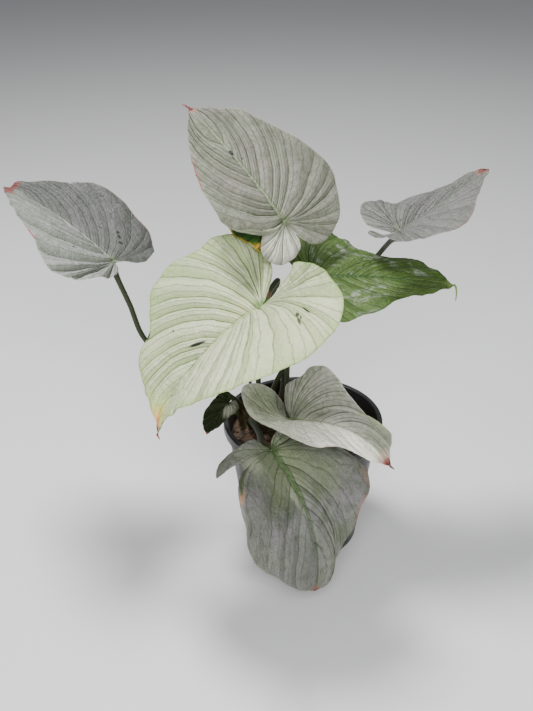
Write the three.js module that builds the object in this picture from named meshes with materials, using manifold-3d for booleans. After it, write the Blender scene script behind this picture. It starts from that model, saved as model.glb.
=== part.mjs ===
// Potted variegated philodendron: seven large heart-shaped leaves and two small ones on long petioles,
// a thick creeping stem with roots, bark potting mix and a plain round nursery pot.
// Millimetres, +Z up. The origin is the centre of the pot's underside, +X is to the viewer's right
// and +Y points away from the viewer.
import * as THREE from 'three';
import { mergeVertices } from 'three/addons/utils/BufferGeometryUtils.js';
import Module from 'manifold-3d';

const wasm = await Module();
wasm.setup();

// Driving dimensions
const POT = {
  height: 120, rimRadius: 70, baseRadius: 51, wall: 1.6, segments: 40,
  edge: 1.5, lip: { height: 9, width: 3, chamfer: 0.7 },
  drain: { count: 8, radius: 5, ring: 36, sides: 16 },
};
const SOIL = { top: 107, shoulder: 3, bevel: 6, crown: 1.5, crownRadius: 30, centre: 0.5 };
const CHIPS = {
  count: 40, size: [7, 15], width: [0.45, 0.75], height: [0.3, 0.5], worn: 0.45, tilt: 0.25, margin: 9,
  raised: 1,
};
const CLEARANCE = 0.3;
const BLADE = { thickness: 0.8, across: [0, 0.1, 0.3, 0.55, 0.8, 1], curlReach: 0.45, smallLength: 60 };
const SPINE = { from: -0.6, to: 1.2, steps: 180 };
// How far apart two points lie that measure a slope: a share of the margin, and millimetres
const SAMPLE = { share: 0.01, length: 0.5 };
// Vein relief in millimetres, and how evenly the veins are spread along the margin
const RIB = {
  depth: 0.8, slope: 0.15, uneven: 0.25, wave: 2.1, crowding: 1.2, pleatWidth: 0.07, flatFrom: 0.8,
};
// The last veins start by a steeper law near the tip: the law's power and the midrib's share before it
const LAST_VEINS = { power: 12, before: 0.72 };
const PETIOLE = {
  radius: 2.3, sheathRadius: 4, sheathLength: 22, neckRadius: 1, neckLength: 3.5, seat: 1.8,
  flatness: 0.06, small: 0.62, sides: 8, step: 18, endSteps: 4, offset: 5.4, rise: 3,
};
const STEM = {
  path: [[-56, 10, 103], [-44, 6, 107], [-28, 0, 111], [-12, -5, 116], [0, -8, 121]],
  radius: 7.6, ringHeight: 0.9, ringWidth: 0.018, sides: 10, steps: 30,
  cut: { first: 0.35, firstRise: 9, last: 0.3, lastRise: 7 },
};
const ROOT = { radius: 1.5, tipRadius: 1, depth: 9, sunk: 2, sag: 2, sides: 5, steps: 5 };
const ROOTS = [
  { at: -48, row: -1, lean: -4, reach: 10 }, { at: -38, row: -1, lean: 3, reach: 14 },
  { at: -22, row: 1, lean: 5, reach: 15 }, { at: -14, row: -1, lean: 4, reach: 10 },
  { at: -6, row: 1, lean: 6, reach: 12 }, { at: -45, row: 1, lean: -4, reach: 9 },
];
const SEED = 20260;

const COLOURS = {
  pot: 0x161616, soil: 0x3b2a1d, stem: 0x4d4a22, petiole: 0x46512a,
  cream: 0xd9dfc6, silver: 0xb9bcb4, mottled: 0x96a183, green: 0x7d9c58, dark: 0x2f5a2c,
};

// Each leaf is drawn flat first: x is the distance out from the midrib, y runs along it from the
// petiole (0) to the tip (length). A side's margin goes from the inner corner of its lobe to the tip.
// Angles are in degrees. The heading is seen from above (0 = +X, 90 = +Y), the pitch is above level and
// changes by droop towards the tip. fold lifts a side off the midrib and curl bends it on its way out,
// each changing by its second value towards the tip. back bends the lobe behind the petiole. gather
// draws the veins' starts towards the petiole, lead their ends towards the tip, and bow arches them.
const LEAVES = [
  {
    name: 'front', colour: 'cream', attach: [-36, -60, 261], length: 131, basal: 0.44,
    veins: 15, gather: 1.8, heading: -154, pitch: -21, droop: -49, roll: -3, twist: 0, sway: 0,
    right: {
      lead: 1.15, bow: 0.2, fold: [22, 4], curl: [4, 8], back: 22, splay: 2,
      margin: [[3, -5], [15, -19], [31, -29], [52, -26], [72, -19], [79, -5], [76, 14], [79, 32], [72, 52],
        [50, 72], [46, 89], [25, 108], [6, 122]],
    },
    left: {
      lead: 1.5, bow: 0.2, fold: [25, 5], curl: [-43, 10], back: 171, splay: -37,
      margin: [[-2, -10], [-1, -26], [6, -42], [23, -51], [40, -54], [64, -41], [76, -24], [80, -6], [83, 8],
        [78, 34], [70, 52], [60, 69], [43, 87], [20, 110]],
    },
    petiole: {
      at: -33.5, row: -1, behind: 3, below: 4,
      via: [[-39, -14, 170], [-33, -12, 222], [-23, -18, 262], [-28, -31, 262], [-31, -45, 261]],
    },
  },
  {
    name: 'top', colour: 'silver', attach: [-18, 5, 303], length: 124, basal: 0.46,
    veins: 15, gather: 2, heading: 144, pitch: 45, droop: -18, roll: 3, twist: 8, sway: -7,
    right: {
      lead: 1.6, bow: 0.22, fold: [6, 25], curl: [14, 20], back: -25, splay: 25,
      margin: [[1, -4], [3, -15], [11, -27], [23, -31], [37, -29], [51, -20], [60, -2], [63, 14], [59, 30],
        [50, 50], [38, 73], [27, 96], [14, 109]],
    },
    left: {
      lead: 1.5, bow: 0.3, fold: [3, -6], curl: [8, -7], back: -1, splay: 0, pleat: [0.42, 1.6],
      margin: [[0, -5], [-2, -14], [1, -24], [9, -28], [21, -30], [33, -29], [44, -23], [47, -17], [40, -8],
        [28, 2], [42, 6], [55, 10], [61, 16], [57, 32], [48, 56], [31, 86], [16, 106]],
    },
    petiole: {
      at: -23, row: 1, behind: 3, below: 6,
      via: [[-17, 21, 150], [-32, 23, 200], [-36, 21, 240], [-25, 17, 282]],
    },
  },
  {
    name: 'left', colour: 'silver', attach: [-155, 0, 270], length: 124, basal: 0.4,
    veins: 10, gather: 2, heading: 146, pitch: 29, droop: -23, roll: -8, twist: 5, sway: -3,
    right: {
      lead: 1.6, bow: 0.22, fold: [13, 26], curl: [-29, 48], back: 0, splay: 3,
      margin: [[3, -1], [11, -6], [22, -12], [37, -10], [55, -1], [61, 12], [57, 28], [54, 46], [46, 68],
        [34, 80], [22, 98], [12, 113], [8.5, 121]],
    },
    left: {
      lead: 1.3, bow: 0.22, fold: [20, 6], curl: [-19, 24], back: 14, splay: 2,
      margin: [[2, -5], [9, -11], [22, -16], [39, -16], [58, -10], [71, 1], [75, 12], [69, 26], [62, 47],
        [50, 70], [36, 90], [17, 111], [8, 121]],
    },
    petiole: {
      at: -51.5, row: 1, behind: 3, below: 5,
      via: [[-57, 7, 131], [-98, 6, 162], [-134, 3, 196], [-145, 2, 230]],
    },
  },
  {
    name: 'right', colour: 'silver', attach: [76, 10, 293], length: 101, basal: 0.45,
    veins: 13, gather: 2.6, heading: 38, pitch: 15, droop: 6, roll: 12, twist: 2, sway: -2,
    right: {
      lead: 2.1, bow: 0.16, fold: [30, -13], curl: [-45, -18], back: 84, splay: -24,
      margin: [[2, -6], [7, -20], [13, -40], [23, -54], [35, -55], [46, -38], [47, -10], [52, 10], [51, 24],
        [42, 44], [30, 61], [14, 85]],
    },
    left: {
      lead: 2.1, bow: 0.16, fold: [28, -20], curl: [-12, -57], back: 30, splay: 6,
      margin: [[4, -8], [13, -14], [24, -15], [38, -9], [50, 6], [56, 18], [53, 26], [34, 24], [32, 40],
        [28, 55], [19, 70], [14, 82], [11, 94]],
    },
    petiole: {
      at: -32.5, row: 1, behind: 0, below: 6, seat: 0.95,
      via: [[-21, 12, 155], [22, 32, 205], [64, 47, 256], [72, 32, 275]],
    },
  },
  {
    name: 'green', colour: 'green', attach: [5, 0, 258], length: 116, basal: 0.45,
    veins: 10, gather: 1.6, heading: 0, pitch: 0, droop: -8, roll: -8, twist: 3, sway: -1,
    right: {
      lead: 1.4, bow: 0.2, fold: [5, 1], curl: [-16, 3], back: 60, splay: 0,
      margin: [[2, -4], [6, -12], [16, -18], [32, -18], [48, -10], [57, 4], [60, 20], [54, 36], [46, 53],
        [31, 69], [22, 90], [8, 110]],
    },
    left: {
      lead: 1.4, bow: 0.2, fold: [9, -1], curl: [-13, -8], back: 40, splay: 0,
      margin: [[2, -4], [7, -13], [18, -21], [36, -24], [56, -16], [68, 2], [69, 20], [58, 29], [44, 37],
        [32, 57], [31, 74], [33, 87], [23, 98], [8, 111]],
    },
    petiole: { at: -13.5, row: 1, via: [[-14, 5, 170], [-8, 4, 225]], behind: 3, below: 6 },
  },
  {
    name: 'mid', colour: 'mottled', attach: [-12, -72, 166], length: 94, basal: 0.42,
    veins: 12, gather: 2, heading: -29, pitch: 15, droop: -73, droopPower: 2, roll: 0, twist: -14, sway: -3,
    right: {
      lead: 1.3, bow: 0.2, fold: [17, -19], curl: [-4, -14], back: 239, splay: -165,
      margin: [[-4, -8], [-9, -20], [-5, -28], [2, -35], [12, -40], [24, -38], [28, -18], [27, -10], [30, 3],
        [36, 28], [33, 40], [21, 55], [18, 63], [15, 75], [5, 89]],
    },
    left: {
      lead: 1.3, bow: 0.2, fold: [64, 11], curl: [-15, 11], back: 65, splay: 12,
      margin: [[4, -4], [20, -10], [26, -10], [31, -2], [34, 6], [42, 14], [44, 23], [42, 30], [29, 43],
        [20, 55], [14, 63], [15, 70], [19, 76], [14, 80], [6, 85]],
    },
    petiole: { at: -24, row: -1, via: [[-24, -26, 145], [-17, -52, 159]], behind: 3, below: 4.8 },
  },
  {
    name: 'bottom', colour: 'mottled', attach: [-28, -95, 152], length: 133, basal: 0.45,
    veins: 7, gather: 2.2, heading: -39, pitch: -37, droop: -62, roll: 9, twist: -15, sway: -8,
    right: {
      lead: 1.7, bow: 0.26, fold: [10, -8], curl: [17, -31], back: 0, splay: 0,
      hook: { frame: 6, from: 13.6, turn: 40, radius: 25, most: 150, full: -5, fade: 35 },
      margin: [[4, -9], [9, -14], [30, -17], [48, -17], [58, -8], [51, -9], [41, -5], [45, 1], [60, 11],
        [80, 21], [91, 34], [80, 52], [66, 68], [43, 92], [28, 110], [15, 123]],
    },
    left: {
      lead: 1.7, bow: 0.26, fold: [8, 3], curl: [-7, 12], back: 0, splay: 0,
      margin: [[2, -3], [9, -8], [22, -11], [38, -7], [52, 8], [61, 28], [68, 43], [72, 53], [65, 67],
        [52, 74], [38, 88], [23, 100], [16, 110], [11, 130]],
    },
    petiole: { at: -43, row: -1, via: [[-45, -16, 127], [-38, -52, 139]], behind: 6, below: 4 },
  },
  {
    name: 'small', colour: 'dark', attach: [-64, -20, 148], length: 33, basal: 0.45,
    veins: 6, gather: 1.6, heading: -143, pitch: -32, droop: -25, roll: 0, twist: 0, sway: 0,
    right: {
      lead: 1, bow: 0.16, fold: [10, 0], curl: [1, 0], back: 0, splay: 0,
      margin: [[1, -3], [4, -7], [9, -7], [13, -3], [14, 6], [14, 16], [12, 23], [6, 30]],
    },
    left: {
      lead: 1, bow: 0.16, fold: [10, 0], curl: [1, 0], back: 0, splay: 0,
      margin: [[1, -3], [5, -5], [11, -4], [17, 0], [18, 4], [14, 8], [13, 14], [10, 21], [3, 29]],
    },
    petiole: { at: -52.5, row: -1, via: [[-57, -8, 130]], behind: 2, below: 4 },
  },
  {
    name: 'old', colour: 'dark', attach: [-28, 4, 301], length: 36, basal: 0.45,
    veins: 6, gather: 1.6, heading: 170, pitch: -3, droop: -10, roll: 25, twist: 0, sway: 0,
    right: {
      lead: 1, bow: 0.16, fold: [6, 0], curl: [1, 0], back: 0, splay: 0,
      margin: [[1, -3], [7, -2], [13, 8], [14, 19], [8, 33]],
    },
    left: {
      lead: 1, bow: 0.16, fold: [6, 0], curl: [1, 0], back: 0, splay: 0,
      margin: [[1, -2], [10, -3], [23, -4], [33, -2], [34, 3], [30, 9], [25, 12], [19, 21], [12, 29]],
    },
    petiole: {
      at: -42, row: 1, behind: 1, below: 4,
      via: [[-48, 22, 160], [-50, 25, 230], [-38, 12, 278]],
    },
  },
];
const rad = THREE.MathUtils.degToRad;

// A side's spine: the midrib's place and axes at each y, bent on behind the petiole for the lobe
function spine(leaf, side) {
  const s = leaf[side];
  const sign = side === 'right' ? 1 : -1;
  const { steps } = SPINE;
  const from = SPINE.from * leaf.length;
  const step = ((SPINE.to - SPINE.from) * leaf.length) / steps;
  const rows = [];
  const place = new THREE.Vector3();
  let last = null;
  for (let i = 0; i <= steps; i += 1) {
    const y = from + i * step;
    const t = y / leaf.length;
    const ahead = Math.max(t, 0);
    const behind = Math.min(t, 0);
    const pitch = rad(leaf.pitch + leaf.droop * ahead ** (leaf.droopPower ?? 1) + s.back * behind);
    const heading = rad(leaf.heading + leaf.sway * ahead - sign * s.splay * behind);
    const along = new THREE.Vector3(
      Math.cos(pitch) * Math.cos(heading), Math.cos(pitch) * Math.sin(heading), Math.sin(pitch));
    const roll = rad(leaf.roll + leaf.twist * ahead);
    const across = new THREE.Vector3(Math.sin(heading), -Math.cos(heading), 0).applyAxisAngle(along, -roll);
    const up = new THREE.Vector3().crossVectors(across, along);
    if (last) place.addScaledVector(last.along.clone().add(along), step / 2);
    last = { y, along, across, up, place: place.clone() };
    rows.push(last);
  }
  const at = (y) => {
    const f = THREE.MathUtils.clamp((y - from) / step, 0, steps - 1e-6);
    const i = Math.floor(f);
    const mix = (key) => rows[i][key].clone().lerp(rows[i + 1][key], f - i);
    return { place: mix('place'), along: mix('along'), across: mix('across'), up: mix('up') };
  };
  const origin = at(0).place.sub(new THREE.Vector3(...leaf.attach));
  return (y) => {
    const row = at(y);
    row.place.sub(origin);
    return row;
  };
}

// The smooth blade surface of one side at a flat point (x out from the midrib, y along it)
function surface(leaf, side) {
  const s = leaf[side];
  const sign = side === 'right' ? 1 : -1;
  const row = spine(leaf, side);
  return (x, y) => {
    const { place, across, up } = row(y);
    const t = THREE.MathUtils.clamp(y / leaf.length, 0, 1);
    const a0 = rad(s.fold[0] + s.fold[1] * t);
    const bend = rad(s.curl[0] + s.curl[1] * t) / (BLADE.curlReach * leaf.length) || 1e-6;
    const a1 = a0 + bend * x;
    const out = (Math.sin(a1) - Math.sin(a0)) / bend;
    const rise = (Math.cos(a0) - Math.cos(a1)) / bend;
    return place.addScaledVector(across, sign * out).addScaledVector(up, rise);
  };
}

// A hooked lobe rolls over and down past a line that crosses it, at a distance from the petiole
function rolled(leaf, side, plain) {
  const { hook } = leaf[side];
  if (!hook) return plain;
  const near = SAMPLE.length;
  const root = plain(near, 0);
  const out = plain(hook.frame, 0).sub(root).normalize();
  const along = plain(near, hook.frame).sub(root);
  along.addScaledVector(out, -along.dot(out)).normalize();
  const up = new THREE.Vector3().crossVectors(out, along);
  const turn = rad(hook.turn);
  const way = out.clone().multiplyScalar(Math.cos(turn)).addScaledVector(along, -Math.sin(turn));
  const start = root.clone().addScaledVector(way, hook.from);
  return (x, y) => {
    const p = plain(x, y);
    const rel = p.clone().sub(start);
    const reach = rel.dot(way);
    if (reach <= 0) return p;
    const height = rel.dot(up);
    const radius = hook.radius / THREE.MathUtils.clamp(1 - (y - hook.full) / hook.fade, 0.001, 1);
    const angle = Math.min(reach / radius, rad(hook.most));
    const rest = reach - angle * radius;
    const newReach = Math.sin(angle) * (radius + height) + Math.cos(angle) * rest;
    const newHeight = Math.cos(angle) * (radius + height) - radius - Math.sin(angle) * rest;
    return p.addScaledVector(way, newReach - reach).addScaledVector(up, newHeight - height);
  };
}

// How many veins lie between the lobe's inner corner and a share w of the margin
function veinNumber(leaf, w) {
  const uneven = RIB.uneven * Math.sin(RIB.wave * leaf.veins * w + leaf.length);
  return leaf.veins * w ** RIB.crowding + uneven * Math.min(1, 4 * w);
}

// The share of the margin that so many veins take up
function shareAt(leaf, number) {
  let low = 0;
  let high = 1;
  while (high - low > 1e-6) {
    const mid = (low + high) / 2;
    if (veinNumber(leaf, mid) < number) low = mid;
    else high = mid;
  }
  return low;
}

// The shares where the blade has a line of points: on every vein, between veins and at the tip
function lineShares(leaf) {
  const step = leaf.veins < 9 ? 0.25 : 0.5;
  const shares = [0];
  for (let number = step; number < veinNumber(leaf, 1) - step / 2; number += step) {
    shares.push(shareAt(leaf, number));
  }
  return [...shares, 1];
}

// Flat vein lines: they fan out from the petiole to the lobe, then leave the midrib one by one
function veinLine(leaf, side, w) {
  const { margin, lead, bow } = leaf[side];
  const pts = [...margin, [0, leaf.length]].map(([x, y]) => new THREE.Vector3(x, y, 0));
  const edge = new THREE.CatmullRomCurve3(pts, false, 'centripetal');
  const { basal } = leaf;
  const ahead = Math.max(0, (w - basal) / (1 - basal));
  const share = w > basal ? basal + (1 - basal) * (1 - (1 - ahead) ** lead) : w;
  const end = w >= 1 ? pts[pts.length - 1] : edge.getPointAt(share);
  const { before, power } = LAST_VEINS;
  const startShare = before * ahead ** leaf.gather + (1 - before) * ahead ** power;
  const start = new THREE.Vector3(0, leaf.length * startShare, 0);
  const chord = end.clone().sub(start);
  const arch = bow * THREE.MathUtils.smoothstep(w, 0.35 * basal, 1.15 * basal);
  const knee = start.clone().addScaledVector(chord, 0.5);
  knee.add(new THREE.Vector3(chord.y, -chord.x, 0).multiplyScalar(arch));
  return new THREE.QuadraticBezierCurve3(start, knee, end);
}

// Millimetres between two veins beside a point, v of the way from the midrib to the margin
function veinSpacing(leaf, side, w, v) {
  const low = Math.max(0, w - SAMPLE.share);
  const high = Math.min(1, w + SAMPLE.share);
  const apart = veinLine(leaf, side, low).getPoint(v).distanceTo(veinLine(leaf, side, high).getPoint(v));
  return apart / Math.abs(veinNumber(leaf, high) - veinNumber(leaf, low));
}

// Height of the quilting: furrows on the veins, soft ridges between them and a step at a pleat
function relief(leaf, side, w, v) {
  const fade = 1 - 0.5 * THREE.MathUtils.smoothstep(v, RIB.flatFrom, 1);
  const depth = Math.min(RIB.depth, RIB.slope * veinSpacing(leaf, side, w, v)) * fade;
  const quilt = -depth * Math.cos(2 * Math.PI * veinNumber(leaf, w));
  const { pleat } = leaf[side];
  if (!pleat) return quilt;
  const [seam, fall] = pleat;
  return quilt + fall * v * Math.exp(-Math.abs(w - seam) / RIB.pleatWidth) * (w < seam ? -1 : 1);
}

// A point of the blade and the way out of its upper face, v of the way from the midrib to the margin
function bladePoint(leaf, side, surf, w, v) {
  const flat = veinLine(leaf, side, w).getPoint(v);
  const place = surf(flat.x, flat.y);
  const dx = surf(flat.x + SAMPLE.length, flat.y).sub(place);
  const dy = surf(flat.x, flat.y + SAMPLE.length).sub(place);
  const normal = new THREE.Vector3().crossVectors(dx, dy).normalize();
  if (side === 'left') normal.negate();
  return { place, normal };
}

// One blade as a closed solid: the same triangles on the upper and lower face, joined by a rim
function bladeGeometry(leaf) {
  const shares = lineShares(leaf);
  const lines = shares.length - 1;
  const columns = BLADE.across.length - 1;
  const points = [];
  const index = new Map();
  const keyOf = (side, i, j) => {
    if (i === lines) return 'tip';
    if (j === 0) return shares[i] <= leaf.basal ? 'root' : `rib${i}`;
    return `${side}${i}_${j}`;
  };
  const tris = [];
  const addTri = (a, b, c) => {
    if (a !== b && b !== c && c !== a) tris.push([a, b, c]);
  };
  for (const side of ['right', 'left']) {
    const surf = rolled(leaf, side, surface(leaf, side));
    const vertex = (i, j) => {
      const key = keyOf(side, i, j);
      if (!index.has(key)) {
        const { place, normal } = bladePoint(leaf, side, surf, shares[i], BLADE.across[j]);
        const height = j === 0 || i === lines ? 0 : relief(leaf, side, shares[i], BLADE.across[j]);
        index.set(key, points.length);
        points.push(place.addScaledVector(normal, height));
      }
      return index.get(key);
    };
    for (let i = 0; i < lines; i += 1) {
      for (let j = 0; j < columns; j += 1) {
        const quad = [vertex(i, j), vertex(i, j + 1), vertex(i + 1, j + 1), vertex(i + 1, j)];
        if (side === 'left') quad.reverse();
        const [a, b, c, d] = quad;
        addTri(a, b, c);
        addTri(a, c, d);
      }
    }
  }
  return shell(points, tris, BLADE.thickness);
}

// Each point's normal: the mean of its triangles' normals, weighted by their areas
function meanNormals(points, tris) {
  const normals = points.map(() => new THREE.Vector3());
  for (const [a, b, c] of tris) {
    const ab = points[b].clone().sub(points[a]);
    const ac = points[c].clone().sub(points[a]);
    const n = ab.cross(ac);
    for (const k of [a, b, c]) normals[k].add(n);
  }
  return normals.map((n) => n.normalize());
}

// Thickens an open sheet of triangles into a closed solid
function shell(points, tris, thickness) {
  const normals = meanNormals(points, tris);
  const count = points.length;
  const position = [];
  for (const height of [thickness / 2, -thickness / 2]) {
    points.forEach((p, k) => position.push(...p.clone().addScaledVector(normals[k], height)));
  }
  const edges = new Map();
  const faces = [];
  for (const [a, b, c] of tris) {
    faces.push(a, b, c, a + count, c + count, b + count);
    for (const [p, q] of [[a, b], [b, c], [c, a]]) {
      const twin = `${q}_${p}`;
      if (edges.has(twin)) edges.delete(twin);
      else edges.set(`${p}_${q}`, [p, q]);
    }
  }
  for (const [p, q] of edges.values()) faces.push(q, p, p + count, q, p + count, q + count);
  return indexed(position, faces);
}

function indexed(position, faces) {
  const geometry = new THREE.BufferGeometry();
  geometry.setAttribute('position', new THREE.Float32BufferAttribute(position, 3));
  geometry.setIndex(faces);
  return geometry;
}

const pathThrough = (pts) => {
  const corners = pts.map((p) => new THREE.Vector3(...p));
  return new THREE.CatmullRomCurve3(corners, false, 'centripetal');
};

// A closed tube along a curve. radiusAt gives its radius at a share of the curve and an angle;
// grow makes it thicker all round and longer at both ends, as a cutter that leaves a clearance.
function tubeGeometry(curve, radiusAt, sides, steps, grow) {
  const frames = curve.computeFrenetFrames(steps, false);
  const position = [];
  const faces = [];
  for (let i = 0; i <= steps; i += 1) {
    const t = i / steps;
    const end = Math.sign(2 * t - 1) * (i % steps === 0 ? grow : 0);
    const centre = curve.getPointAt(t).addScaledVector(frames.tangents[i], end);
    for (let k = 0; k < sides; k += 1) {
      const a = (2 * Math.PI * k) / sides;
      const r = radiusAt(t, a) + grow;
      const p = centre.clone().addScaledVector(frames.normals[i], r * Math.cos(a));
      position.push(...p.addScaledVector(frames.binormals[i], r * Math.sin(a)));
    }
  }
  const ring = (i, k) => i * sides + (k % sides);
  for (let i = 0; i < steps; i += 1) {
    for (let k = 0; k < sides; k += 1) {
      faces.push(ring(i, k), ring(i, k + 1), ring(i + 1, k + 1));
      faces.push(ring(i, k), ring(i + 1, k + 1), ring(i + 1, k));
    }
  }
  for (let k = 1; k < sides - 1; k += 1) {
    faces.push(ring(0, 0), ring(0, k + 1), ring(0, k));
    faces.push(ring(steps, 0), ring(steps, k), ring(steps, k + 1));
  }
  return indexed(position, faces);
}

// Solid from a closed geometry, and back
function solid(geometry) {
  const plain = geometry.clone();
  plain.deleteAttribute('normal');
  plain.deleteAttribute('uv');
  const merged = mergeVertices(plain, 1e-4);
  return new wasm.Manifold(new wasm.Mesh({
    numProp: 3,
    vertProperties: Float32Array.from(merged.attributes.position.array),
    triVerts: Uint32Array.from(merged.index.array),
  }));
}

function geometryOf(manifold) {
  const mesh = manifold.getMesh();
  return indexed(mesh.vertProperties, [...mesh.triVerts]);
}

// The largest loose body of a solid
function mainBody(manifold) {
  return manifold.decompose().sort((a, b) => b.volume() - a.volume())[0];
}

const group = new THREE.Group();

function addMesh(name, geometry, colour, roughness) {
  const material = new THREE.MeshStandardMaterial({ color: colour, roughness, metalness: 0 });
  const mesh = new THREE.Mesh(geometry, material);
  mesh.name = name;
  group.add(mesh);
}

// The creeping stem: a thick tube with a swollen ring at every petiole, and cord-like roots fused to it
const stemCurve = pathThrough(STEM.path);

// Where the stem passes an x: the share of its curve and the place
function stemPoint(x) {
  let low = 0;
  let high = 1;
  while (high - low > 1e-4) {
    const mid = (low + high) / 2;
    if (stemCurve.getPointAt(mid).x < x) low = mid;
    else high = mid;
  }
  return { t: low, place: stemCurve.getPointAt(low) };
}

// A root leaves the stem sideways, sags a little and goes down into the potting mix
function rootSolid({ at, row, lean, reach }, grow) {
  const { place } = stemPoint(at);
  const out = (x, y, z) => new THREE.Vector3(x, row * y, z).add(place);
  const start = out(0, STEM.radius - ROOT.sunk, 0);
  const knee = out(lean, STEM.radius + reach / 2, -ROOT.sag);
  const end = out(2 * lean, STEM.radius + reach, 0).setZ(SOIL.top - ROOT.depth);
  const curve = new THREE.CatmullRomCurve3([start, knee, end]);
  const radiusAt = (t) => THREE.MathUtils.lerp(ROOT.radius, ROOT.tipRadius, t);
  return solid(tubeGeometry(curve, radiusAt, ROOT.sides, ROOT.steps, grow));
}

function stemSolid(grow) {
  const rings = LEAVES.map((leaf) => stemPoint(leaf.petiole.at).t);
  const radiusAt = (t) => {
    const ring = Math.max(...rings.map((r) => Math.exp(-(((t - r) / STEM.ringWidth) ** 2))));
    const { first, firstRise, last, lastRise } = STEM.cut;
    const ends = Math.sqrt(Math.min(1, first + firstRise * t, last + lastRise * (1 - t)));
    return (STEM.radius + STEM.ringHeight * ring) * ends;
  };
  const stem = solid(tubeGeometry(stemCurve, radiusAt, STEM.sides, STEM.steps, grow));
  return ROOTS.reduce((whole, root) => whole.add(rootSolid(root, grow)), stem);
}

// A petiole's curve rises from the stem and ends under the blade, a clearance away
function petioleCurve(leaf) {
  const { at, row, via, below, behind, seat = PETIOLE.seat } = leaf.petiole;
  const base = stemPoint(at).place.add(new THREE.Vector3(0, row * PETIOLE.offset, PETIOLE.rise));
  const { up, along } = spine(leaf, 'right')(0);
  const attach = new THREE.Vector3(...leaf.attach);
  const under = attach.clone().addScaledVector(up, -below).addScaledVector(along, -behind);
  const end = attach.clone().addScaledVector(up, -seat);
  return pathThrough([base.toArray(), ...via, under.toArray(), end.toArray()]);
}

// A petiole is wider in its sheath at the foot and drawn in to a neck under the blade
function petioleSolid(leaf, grow) {
  const curve = petioleCurve(leaf);
  const scale = leaf.length < BLADE.smallLength ? PETIOLE.small : 1;
  const length = curve.getLength();
  const radiusAt = (t, angle) => {
    const sheath = Math.exp(-(((t * length) / PETIOLE.sheathLength) ** 2));
    const neck = Math.exp(-((((1 - t) * length) / PETIOLE.neckLength) ** 2));
    const full = scale * THREE.MathUtils.lerp(PETIOLE.radius, PETIOLE.sheathRadius, sheath);
    const radius = THREE.MathUtils.lerp(full, PETIOLE.neckRadius, neck);
    return radius * (1 + PETIOLE.flatness * Math.cos(2 * angle));
  };
  const steps = Math.ceil(length / PETIOLE.step) + PETIOLE.endSteps;
  return solid(tubeGeometry(curve, radiusAt, PETIOLE.sides, steps, grow));
}

function lathe(profile) {
  const points = profile.map(([x, y]) => new THREE.Vector2(x, y));
  return solid(new THREE.LatheGeometry(points, POT.segments).rotateX(Math.PI / 2));
}

// The pot's inner radius at a height; its even wall leans out as far as the lip allows
function innerRadius(z) {
  const lean = (POT.rimRadius - POT.lip.width - POT.baseRadius) / POT.height;
  return POT.baseRadius + lean * z - POT.wall;
}

// A thin round pot with a lip round its rim and drain holes in its floor
function potSolid() {
  const { height, rimRadius, baseRadius, wall, edge, lip, drain } = POT;
  const under = height - lip.height;
  const inner = innerRadius(height);
  const body = lathe([
    [0, 0], [baseRadius - edge, 0], [baseRadius, edge], [innerRadius(under) + wall, under],
    [rimRadius - lip.chamfer, under + lip.chamfer], [rimRadius, height - edge], [rimRadius - edge, height],
    [inner + edge, height], [inner, height - edge], [innerRadius(wall), wall], [0, wall],
  ]);
  const holes = Array.from({ length: drain.count }, (_, i) => {
    const a = (2 * Math.PI * i) / drain.count;
    const hole = new THREE.CylinderGeometry(drain.radius, drain.radius, 4 * wall, drain.sides);
    hole.rotateX(Math.PI / 2).translate(drain.ring * Math.cos(a), drain.ring * Math.sin(a), 0);
    return solid(hole);
  });
  return holes.reduce((whole, hole) => whole.subtract(hole), body);
}

// Draws from 0 to 1, the same ones for the same seed
function seeded(seed) {
  let state = seed;
  return () => {
    state = (state * 16807) % 2147483647;
    return state / 2147483647;
  };
}

// One chip of bark: a block with worn corners, tilted and turned, half sunk in the potting mix
function barkChip(random) {
  const { lerp } = THREE.MathUtils;
  const radius = (innerRadius(SOIL.top) - CHIPS.margin) * Math.sqrt(random());
  const turn = 2 * Math.PI * random();
  const size = lerp(...CHIPS.size, random());
  const width = size * lerp(...CHIPS.width, random());
  const height = size * lerp(...CHIPS.height, random());
  const box = new THREE.BoxGeometry(size, width, height);
  const corners = box.attributes.position;
  const drawn = new Map();
  for (let i = 0; i < corners.count; i += 1) {
    const corner = new THREE.Vector3().fromBufferAttribute(corners, i);
    const key = corner.toArray().map(Math.sign).join();
    if (!drawn.has(key)) drawn.set(key, [random(), random(), random()].map((v) => 1 - CHIPS.worn * v));
    corners.setXYZ(i, ...corner.multiply(new THREE.Vector3(...drawn.get(key))));
  }
  const tilt = () => CHIPS.tilt * (2 * random() - 1);
  box.rotateX(tilt()).rotateY(tilt()).rotateZ(2 * Math.PI * random());
  return solid(box.translate(radius * Math.cos(turn), radius * Math.sin(turn), SOIL.top + CHIPS.raised));
}

// Bark potting mix: a body with a gently uneven top, with chips of bark sunk into it
function soilSolid() {
  const floor = POT.wall + CLEARANCE;
  const shoulder = SOIL.top - SOIL.shoulder;
  const body = lathe([
    [0, floor], [innerRadius(floor) - CLEARANCE, floor], [innerRadius(shoulder) - CLEARANCE, shoulder],
    [innerRadius(SOIL.top) - SOIL.bevel, SOIL.top], [SOIL.crownRadius, SOIL.top + SOIL.crown],
    [0, SOIL.top + SOIL.centre],
  ]);
  const random = seeded(SEED);
  const chips = Array.from({ length: CHIPS.count }, () => barkChip(random));
  return chips.reduce((whole, chip) => whole.add(chip), body);
}

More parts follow.
